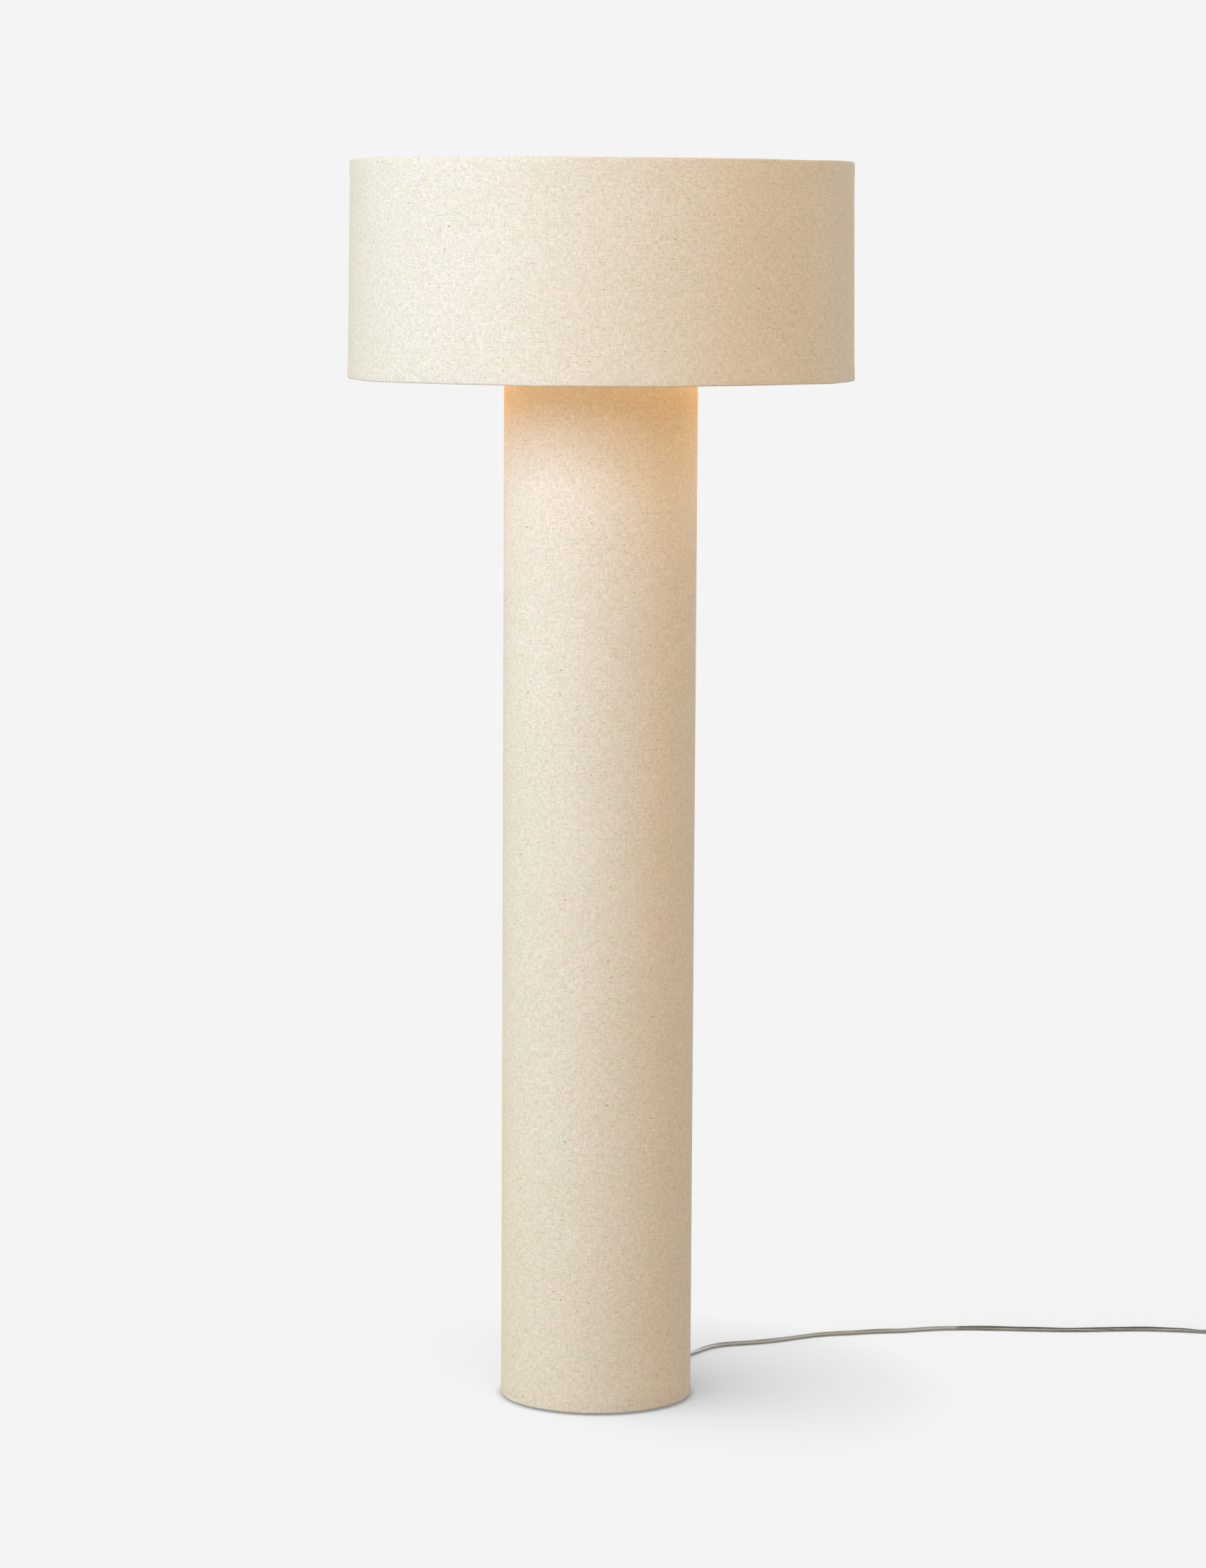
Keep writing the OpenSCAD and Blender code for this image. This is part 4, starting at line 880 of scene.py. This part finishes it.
class LAMP_OT_foot_switch(bpy.types.Operator):
    """Foot switch: tray, hollow domed cover with a collar round its hole, and the flanged button"""

    bl_idname = "lamp.foot_switch"
    bl_label = "Foot switch"

    def execute(self, context):
        low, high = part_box("switch_base")
        length, width = high.x - low.x, high.y - low.y
        seam, top = high.z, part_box("switch_cover")[1].z
        wall, well = 0.002, 0.0094
        outside = soften([(0.0012, 0), (0.0003, 0.0009), (0, 0.002), (0, seam - 0.0006), (0.0005, seam)], 0.0006)
        tray = np.vstack([[(0.010, 0)], outside, [(wall, seam)], [(wall, wall)], [(0.010, wall)]])
        parts = [stacked("tray", inset_rows(length, width, tray), SWITCH_AT), *self.bosses(length, wall, seam)]
        dress(joined("foot_switch_base", parts), "ivory", "lamp", "switch_plastic", "switch_base")

        start, roof = seam + FIT, top - wall
        dome = soften([(0.0005, start), (0, start + 0.0006), (0.0004, top - 0.0065), (0.0016, top - 0.0022),
                       (0.0052, top - 0.0001), (0.0066, top)], 0.0022)
        hole = (2 * well, 2 * well)
        cover = np.vstack([
            inset_rows(length, width, dome), [(*hole, top), (*hole, roof)],
            inset_rows(length, width, [(0.0056, roof), (wall + 0.0016, roof - 0.0022), (wall, roof - 0.0055),
                                       (wall, start)])])
        collar = [(well, top - 0.0015), (well, top + 0.0004), (well + 0.0016, top + 0.0004),
                  (well + 0.0022, top - 0.0006), (well + 0.0022, top - 0.0015)]
        parts = [stacked("dome", cover, SWITCH_AT, hollow=True), *self.bosses(length, start, roof + 0.0005),
                 hollow_turned("collar", collar, 0.0004, 4, 64, SWITCH_AT)]
        dress(joined("foot_switch_cover", parts), "ivory", "lamp", "switch_plastic", "switch_cover")

        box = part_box("switch_button")
        crown, stem_r, flange_r, cap_r = box[1].z, 0.003, box[1].x - SWITCH_AT[0], 0.0087
        flange = roof - 0.0003
        button = soften([(0, box[0].z), (stem_r, box[0].z), (stem_r, flange - 0.002), (flange_r, flange - 0.002),
                         (flange_r, flange), (cap_r, flange), (cap_r, crown - 0.0006), (0.0072, crown),
                         (0.005, crown - 0.0005), (0, crown - 0.0008)], 0.0009, 5)
        dress(turned("foot_switch_button", button, 72, SWITCH_AT), "ivory", "switch_button",
              "switch_plastic", "switch_button")
        return {"FINISHED"}

    def bosses(self, length, low, high):
        """Two tubes near the ends, from one height to another, that screws go into."""
        bore, r, from_end = 0.0016, 0.004, 0.009
        profile = np.array([(bore, low), (r, low), (r, high), (bore, high)])
        return [turned("boss", profile, 32, SWITCH_AT + [way * (length / 2 - from_end), 0, 0], closed=True)
                for way in (-1, 1)]


class LAMP_OT_plug(bpy.types.Operator):
    """Moulded plug with ribs along its grip"""

    bl_idname = "lamp.plug"
    bl_label = "Plug"

    def execute(self, context):
        low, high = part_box("plug_body")
        width, tall = high.y - low.y, high.z - low.z
        head = PLUG_LEN * 2 / 3
        layers = [(0.0042, 0), (0.0008, 0), (0, 0.001), (0, head - 0.004), (0.0012, head - 0.001)]
        for k in range(5):
            at, inset = head + 0.0022 * k, 0.0015 + 0.0004 * k
            layers += [(inset + 0.0007, at), (inset, at + 0.0006), (inset, at + 0.0014)]
        layers += [(0.0042, PLUG_LEN - 0.0002), (0.0046, PLUG_LEN)]
        rows = inset_rows(width, tall, soften(layers, 0.0005, 4))
        piece = stacked("plug", rows, PLUG_NOSE, upright=False)
        dress(piece, "clear grip", "lamp", "clear_pvc", "plug_body")
        return {"FINISHED"}


# ---------- sockets, bulbs and fittings ----------

# Where the sockets start and lean, and the sizes of the bulbs, whose "away" is measured along the socket's axis.
SOCKET_RISE = math.radians(30)
SOCKET_START = 0.002
ARM_END = np.array([0.042, 1.3476795])
GLOBE_R, GLOBE_AWAY = 0.030, 0.1093
NECK_R, NECK_AWAY = 0.0135, 0.0503
CAP_PITCH = 0.0036


def socket_frame(side):
    """The start of a socket's cap and its axis; side 1 is +X and side 2 is -X."""
    way = 1 if side == 1 else -1
    axis = np.array([way * math.cos(SOCKET_RISE), 0, math.sin(SOCKET_RISE)])
    return np.array([way * ARM_END[0], 0, ARM_END[1]]) + SOCKET_START * axis, axis


def globe_middle(side):
    """The middle of a bulb's globe, on its socket's axis."""
    start, axis = socket_frame(side)
    return start + GLOBE_AWAY * axis


class LAMP_OT_bulbs(bpy.types.Operator):
    """Two bulbs: frosted glass, screw base with its thread, and the light they cast"""

    bl_idname = "lamp.bulbs"
    bl_label = "Bulbs"

    def execute(self, context):
        looks = context.scene.lamp_bulbs
        for side in (1, 2):
            at, axis = socket_frame(side)
            piece = turned(f"bulb_{side}_glass", self.glass_profile(), 72, at, axis)
            dress(piece, "bulb", f"bulb_{side}", "bulb_glass", f"bulb_glass_{side}")
            piece.visible_shadow = False
            cap = self.thread(f"bulb_{side}_cap", at, axis)
            dress(cap, "cap", f"bulb_{side}", "bulb_cap", f"bulb_base_{side}")
            light = bpy.data.lights.new(f"bulb_{side}_light", "POINT")
            light.energy, light.color, light.shadow_soft_size = looks.power, tuple(looks.light), 0.028
            lamp = bpy.data.objects.new(light.name, light)
            lamp.location = globe_middle(side)
            context.scene.collection.objects.link(lamp)
        return {"FINISHED"}

    def glass_profile(self):
        """A ball down to 118 degrees from its top. From there the neck narrows to the screw base along a cubic
        curve that leaves the ball in its own direction."""
        edge = math.radians(118)
        ball = arc(GLOBE_R, np.linspace(edge, 0, 26))[:, ::-1] + [0, GLOBE_AWAY]
        t = np.linspace(0, 1, 18)[:-1, None]
        start, touch = np.array([NECK_R, NECK_AWAY]), ball[0]
        lean = np.array([-math.cos(edge), math.sin(edge)])
        c1, c2 = start + [0.0, 0.014], touch - lean * 0.018
        neck = (1 - t) ** 3 * start + 3 * t * (1 - t) ** 2 * c1 + 3 * t * t * (1 - t) * c2 + t**3 * touch
        return np.vstack([[(0, NECK_AWAY)], neck, ball])

    def thread(self, name, at, axis):
        """A round cap on a stepped tip. Along its body the radius rises and falls by a cosine of height less
        angle, which makes a helix, and the helix fades out at both ends."""
        angle = np.arange(72) * TAU / 72
        height = np.linspace(0.0315, 0.0498, 72)[:, None]
        crest = 0.5 + 0.5 * np.cos(TAU * (height / CAP_PITCH) - angle)
        body = ease((height - 0.0325) / 0.002) * (1 - ease((height - 0.0455) / 0.0018))
        tip = np.array([(0.0, 0.0293), (0.0036, 0.0293), (0.0040, 0.0300), (0.0050, 0.0306), (0.0100, 0.0310)])
        r = np.vstack([tip[:, :1] + 0 * angle, 0.0119 + 0.0011 * crest * body, 0 * angle])
        height = np.vstack([tip[:, 1:], height, height[-1:]])
        points = np.stack([r * np.cos(angle), r * np.sin(angle), height + 0 * angle], -1)
        return grid_piece(name, points @ basis(axis) + at)


class LAMP_OT_sockets(bpy.types.Operator):
    """Beaded socket shells and bell caps"""

    bl_idname = "lamp.sockets"
    bl_label = "Sockets"

    def execute(self, context):
        for side in (1, 2):
            at, axis = socket_frame(side)
            r, t = 0.0165, 0.0006
            outer = [(r, 0.013), (r, 0.0175), (r + 0.0005, 0.0183), (r, 0.0191), (r, 0.0300),
                     (r - 0.0004, 0.0308), (r, 0.0316), (r, 0.0440), (r - 0.0004, 0.0448), (r, 0.0456),
                     (r, 0.0478), (r + 0.0005, 0.0486), (r + 0.0003, 0.0490)]
            inner = [(q - t, s) for q, s in outer[::-1]]
            shell = hollow_turned(f"shell_{side}", outer + inner, 0.0004, 3, 96, at, axis)
            dress(shell, "brass", "lamp", "brass", f"socket_shell_{side}")
            flare = r + 0.0011
            outside = [(FITTING_BORE_R, 0), (0.0066, 0), (0.0070, 0.001), (0.0070, 0.0055), (0.0100, 0.0080),
                       (0.0145, 0.0090), (flare, 0.0120), (flare, 0.0165), (flare + 0.0004, 0.0173),
                       (flare, 0.018)]
            inside = [(r + FIT, 0.018), (r + FIT, 0.0128), (0.0138, 0.0104), (0.0096, 0.0092),
                      (FITTING_BORE_R, 0.0085)]
            cap = hollow_turned(f"cap_{side}", outside + inside, 0.0007, 4, 96, at, axis)
            dress(cap, "brass", "lamp", "brass", f"socket_cap_{side}")
        return {"FINISHED"}


class LAMP_OT_turned_parts(bpy.types.Operator):
    """Finial, washer, seat, post, cluster cup and lid, neck, wire rings and top plate"""

    bl_idname = "lamp.turned_parts"
    bl_label = "Turned parts"

    def execute(self, context):
        self.finial()
        self.rings()
        for name, node, body, finish, corners, radius in self.plain_parts():
            piece = hollow_turned(name, corners, radius, 5, 128)
            dress(piece, finish, body, finish.replace(" ", "_"), node)
        return {"FINISHED"}

    def plain_parts(self):
        """Name, node, body, finish, closed profile (radius, height) and radius of the edges of each."""
        def span(node):
            """A node's lowest and highest point and its radius."""
            low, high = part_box(node)
            return low.z, high.z, high.x

        def ring(node, bore, swell=()):
            """A node's own box as a profile, with points between the corners of its outside."""
            z0, z1, r = span(node)
            return [(bore, z0), (r, z0), *swell, (r, z1), (bore, z1)]

        z0, z1, r = span("neck")
        neck = ring("neck", POLE_BORE_R, [
            (r, z0 + 0.003), (r - 0.0015, z0 + 0.004), (r - 0.0015, z1 - 0.004), (r, z1 - 0.003)])
        z0, z1, r = span("cluster_cup")
        cup = [(POLE_BORE_R, z0), (r - 0.004, z0), (r, z0 + 0.004), (r, z1 - 0.003), (r, z1 - 0.0022),
               (r, z1), (r - 0.002, z1), (r - 0.002, z0 + 0.003), (POLE_BORE_R, z0 + 0.003)]
        z0, z1, r = span("cluster_lid")
        rim = z0 + 0.0021
        lid = [(FITTING_BORE_R, z1), (0.008, z1), (0.014, z1 - 0.0013), (0.020, z1 - 0.0034), (r, rim + 0.0012),
               (r, rim), (r - 0.0021, rim), (r - 0.0021, z0), (r - 0.004, z0), (r - 0.004, rim),
               (FITTING_BORE_R, rim + 0.0003)]
        shaped = [
            ("neck_tube", "neck", "lamp", "brass", neck, 0.0006),
            ("cluster_body", "cluster_cup", "lamp", "brass", cup, 0.0012),
            ("cluster_dome", "cluster_lid", "lamp", "brass", lid, 0.0011),
            ("seat", "spider_seat", "lamp", "brass", ring("spider_seat", STUD_BORE_R), 0.0006)]
        flat = (
            ("post", "shade_post", "lamp", "brass", STUD_BORE_R),
            ("washer_under_finial", "finial_washer", "shade", "brass", LOOSE_BORE_R),
            ("washer_on_plate", "upper_washer", "lamp", "brass", POLE_BORE_R),
            ("plate_on_column", "top_plate", "lamp", "cream paint", POLE_BORE_R))
        return shaped + [(name, node, *rest, ring(node, bore), 0.0004) for name, node, *rest, bore in flat]

    def finial(self):
        """A foot, a waist and a ball, hollow for its stud."""
        low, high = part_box("finial")
        z, top, ball = low.z, high.z, high.x
        bore, middle = LOOSE_BORE_R, top - ball
        globe = arc(ball, np.radians(np.linspace(-62, 90, 24))) + [0, middle]
        foot = soften([(bore, z), (ball - 0.001, z), (ball - 0.001, z + 0.0022), (0.0062, z + 0.0040),
                       (0.0052, z + 0.0056)], 0.0008, 5)
        blind_end = middle + 0.0033
        profile = np.vstack([foot, globe, [(0.0, blind_end), (bore, blind_end), (bore, z)]])
        piece = turned("finial_ball", profile, 96)
        dress(piece, "brass", "finial", "brass", "finial")

    def rings(self):
        """The wire rings, and the spider's arms and hub."""
        a = np.arange(14) * TAU / 14
        wire, rod = arc(RING_WIRE_R, a), arc(ARM_ROD_R, a)
        low = turned("ring_low", wire + [LOW_RING_R, LOW_RING_Z], 240, closed=True)
        dress(low, "steel", "shade", "steel", "bottom_ring")
        parts = [turned("ring_top", wire + [TOP_RING_R, TOP_RING_Z], 240, closed=True)]
        hub_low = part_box("spider_ring")[0].z
        hub_high = hub_low + HUB_T
        hub = [(LOOSE_BORE_R, hub_low), (HUB_R, hub_low), (HUB_R, hub_high), (LOOSE_BORE_R, hub_high)]
        parts.append(hollow_turned("hub", hub, 0.0005, 4, 64))
        t = np.linspace(0, 1, 24)[:, None]
        for k in range(3):
            turn = math.radians(90 + 120 * k)
            out = np.array([math.cos(turn), math.sin(turn), 0])
            start = (HUB_R - 0.003) * out + [0, 0, hub_low + HUB_T / 2]
            end = TOP_RING_R * out + [0, 0, TOP_RING_Z]
            parts.append(grid_piece("arm", carried(start * (1 - t) + end * t, rod), caps=True))
        dress(joined("spider", parts), "steel", "shade", "steel", "spider_ring")


class LAMP_OT_frame_finishes(bpy.types.Operator):
    """Materials of the frame's own pieces that keep their shape"""

    bl_idname = "lamp.frame_finishes"
    bl_label = "Frame finishes"

    def execute(self, context):
        finishes = {
            "linen": "linen", "liner": "liner", "plywood": "plywood", "fibreboard": "fibreboard",
            "socket_fibre": "fibre", "iron": "iron", "steel": "steel", "cream_paint": "cream paint",
            "brass": "brass", "phenolic": "phenolic", "bulb_cap": "cap", "bulb_glass": "bulb",
            "felt": "felt", "clear_pvc": "clear grip", "switch_plastic": "ivory", "blade": "stamped brass"}
        for row in frame["record"]["subparts"]:
            coat(frame["nodes"][row["node"]], finishes[row["material_slot"]])
        return {"FINISHED"}


# ---------- stage ----------

# Lights are (name, azimuth in degrees, height). Lengths are in metres, and the lens and sensor in millimetres.
CAMERA_AT = (0.005, -5.7513, 1.4324)
CAMERA_DOWN, CAMERA_ROLL = math.radians(6.627), math.radians(0.3155)
LENS, SENSOR_WIDTH = 108.07, 36.0
LIGHTS = (("key", -45, 2.5), ("front", -5, 2.5), ("right", 95, 2.6), ("back", 165, 2.2))
LIGHT_AWAY, LIGHT_SIZE = 3.6, (1.8, 1.7)
FLOOR_HALF, FLOOR_Z = 12.0, -0.0003
CONTACT_REACH = 0.012


class LAMP_OT_stage(bpy.types.Operator):
    """Camera, pale floor, and the soft light of the picture"""

    bl_idname = "lamp.stage"
    bl_label = "Stage"

    def execute(self, context):
        looks = context.scene.lamp_stage
        self.camera(context)
        self.floor(looks)
        self.world(context, looks)
        for name, azimuth, height in LIGHTS:
            colour, power = getattr(looks, name), getattr(looks, name + "_power")
            self.soft_light(context, name, azimuth, height, colour, power)
        context.scene.view_settings.view_transform = "Standard"
        return {"FINISHED"}

    def camera(self, context):
        """Looks along +Y and a little down, with the small roll that the photograph has."""
        data = bpy.data.cameras.new("camera")
        data.lens, data.sensor_width, data.clip_end = LENS, SENSOR_WIDTH, 100
        camera = bpy.data.objects.new("camera", data)
        level = Matrix.Rotation(math.pi / 2 - CAMERA_DOWN, 4, "X")
        camera.matrix_world = Matrix.Translation(CAMERA_AT) @ level @ Matrix.Rotation(CAMERA_ROLL, 4, "Z")
        context.scene.collection.objects.link(camera)
        context.scene.camera = camera

    def soft_light(self, context, name, azimuth, height, colour, power):
        """A large soft box turned to the middle of the lamp. Azimuth 0 is the camera's side."""
        light = bpy.data.lights.new(name + "_light", "AREA")
        light.shape, (light.size, light.size_y) = "RECTANGLE", LIGHT_SIZE
        light.color, light.energy = tuple(colour), power
        turn = math.radians(azimuth)
        at = Vector((LIGHT_AWAY * math.sin(turn), -LIGHT_AWAY * math.cos(turn), height))
        box = bpy.data.objects.new(light.name, light)
        box.location = at
        box.rotation_euler = (Vector((0, 0, 0.9)) - at).to_track_quat("-Z", "Y").to_euler()
        box.visible_camera = False
        context.scene.collection.objects.link(box)

    def floor(self, looks):
        """The camera, mirrors and clear glass see the background's tone with a painted shadow: darker where the
        lamp hides the left side from the floor close by, and a painted contact shadow right beside what lies on it.
        Other rays meet a plain pale floor."""
        sides = (-FLOOR_HALF, FLOOR_HALF)
        points = np.array([[(x, y, FLOOR_Z) for x in sides] for y in sides])
        floor = grid_piece("floor", points, wrap_cols=False, flat=True)
        sh = Finish("pale floor", Roughness=1.0)
        lean = sh.node("CombineXYZ", {0: -0.76, 1: -0.53, 2: 0.38}).outputs[0]
        hidden = sh.node("AmbientOcclusion", {"Distance": looks.shadow_reach, "Normal": lean}, samples=24)
        # Painted shadow: the floor's glow goes darker where the leaned occlusion finds the lamp beside the base.
        painted_shadow_tone = sh.span(hidden.outputs["AO"], 0.0, 1.0, looks.background * (1 - looks.shadow), looks.background)
        close = sh.node("AmbientOcclusion", {"Distance": CONTACT_REACH}, samples=16)
        # Painted contact shadow: darker still right beside what lies on the floor.
        touch = sh.span(close.outputs["AO"], 0.35, 0.9, 1 - looks.contact_shadow, 1.0)
        glow = sh.node("Emission", {"Color": sh.grey(sh.times(painted_shadow_tone, touch))})
        plain = sh.node("BsdfDiffuse", {"Color": (0.46, 0.46, 0.46, 1)})
        mixed = sh.node("MixShader", {0: self.seen(sh), 1: plain.outputs[0], 2: glow.outputs[0]})
        sh.tree.links.new(mixed.outputs[0], sh.tree.nodes["Material Output"].inputs["Surface"])
        floor.data.materials.append(sh.material)

    def seen(self, sh):
        """1 for rays from the camera, a mirror or clear glass."""
        path = sh.node("LightPath")
        total = sh.maths("ADD", path.outputs["Is Camera Ray"], path.outputs["Is Glossy Ray"])
        return sh.maths("MINIMUM", sh.maths("ADD", total, path.outputs["Is Transmission Ray"]), 1.0)

    def world(self, context, looks):
        """An even light, plus a wide one from the left that falls off with the angle's squared cosine."""
        world = bpy.data.worlds.new("soft studio")
        context.scene.world = world
        world.use_nodes = True
        sh = Nodes(world.node_tree)
        way = sh.node("TexCoord").outputs["Generated"]
        facing = sh.node("VectorMath", {0: way, 1: (-0.82, 0.0, 0.57)}, operation="DOT_PRODUCT").outputs["Value"]
        lobe = sh.maths("POWER", sh.maths("MAXIMUM", facing, 0.0), 2.0)
        side = sh.tinted(rgb(looks.side), sh.grey(lobe))
        cast = sh.node("Background", {"Color": sh.blend(1.0, rgb(looks.ambient), side, "ADD")})
        shown = sh.node("Background", {"Color": rgb((looks.background,) * 3)})
        mixed = sh.node("MixShader", {0: self.seen(sh), 1: cast.outputs[0], 2: shown.outputs[0]})
        sh.tree.links.new(mixed.outputs[0], sh.tree.nodes["World Output"].inputs["Surface"])


# ---------- panel and registration ----------

STEPS = (
    LAMP_OT_stage, LAMP_OT_frame_finishes, LAMP_OT_strain_relief, LAMP_OT_coil_tie, LAMP_OT_foot_switch,
    LAMP_OT_plug, LAMP_OT_cord, LAMP_OT_shade_linen, LAMP_OT_column_linen, LAMP_OT_felt, LAMP_OT_bulbs,
    LAMP_OT_sockets, LAMP_OT_turned_parts)
GROUPS = {"lamp_linen": LampLinen, "lamp_cord": LampCord, "lamp_metal": LampMetal,
          "lamp_bulbs": LampBulbs, "lamp_stage": LampStage}


class LAMP_PT_panel(bpy.types.Panel):
    """Lists the lamp's pieces and their settings"""

    bl_idname = "LAMP_PT_panel"
    bl_label = "Column floor lamp"
    bl_space_type = "VIEW_3D"
    bl_region_type = "UI"
    bl_category = "Lamp"

    def draw(self, context):
        for step in STEPS:
            self.layout.operator(step.bl_idname)
        for key, group in GROUPS.items():
            box = self.layout.box()
            box.label(text=group.__doc__)
            for name in group.__annotations__:
                box.prop(getattr(context.scene, key), name)


CLASSES = (*GROUPS.values(), *STEPS, LAMP_PT_panel)


def register():
    for cls in CLASSES:
        bpy.utils.register_class(cls)
    for key, group in GROUPS.items():
        setattr(bpy.types.Scene, key, bpy.props.PointerProperty(type=group))


def unregister():
    for key in GROUPS:
        delattr(bpy.types.Scene, key)
    for cls in reversed(CLASSES):
        bpy.utils.unregister_class(cls)


def main():
    register()
    for step in STEPS:
        space, name = step.bl_idname.split(".")
        getattr(getattr(bpy.ops, space), name)()


if __name__ == "__main__":
    main()
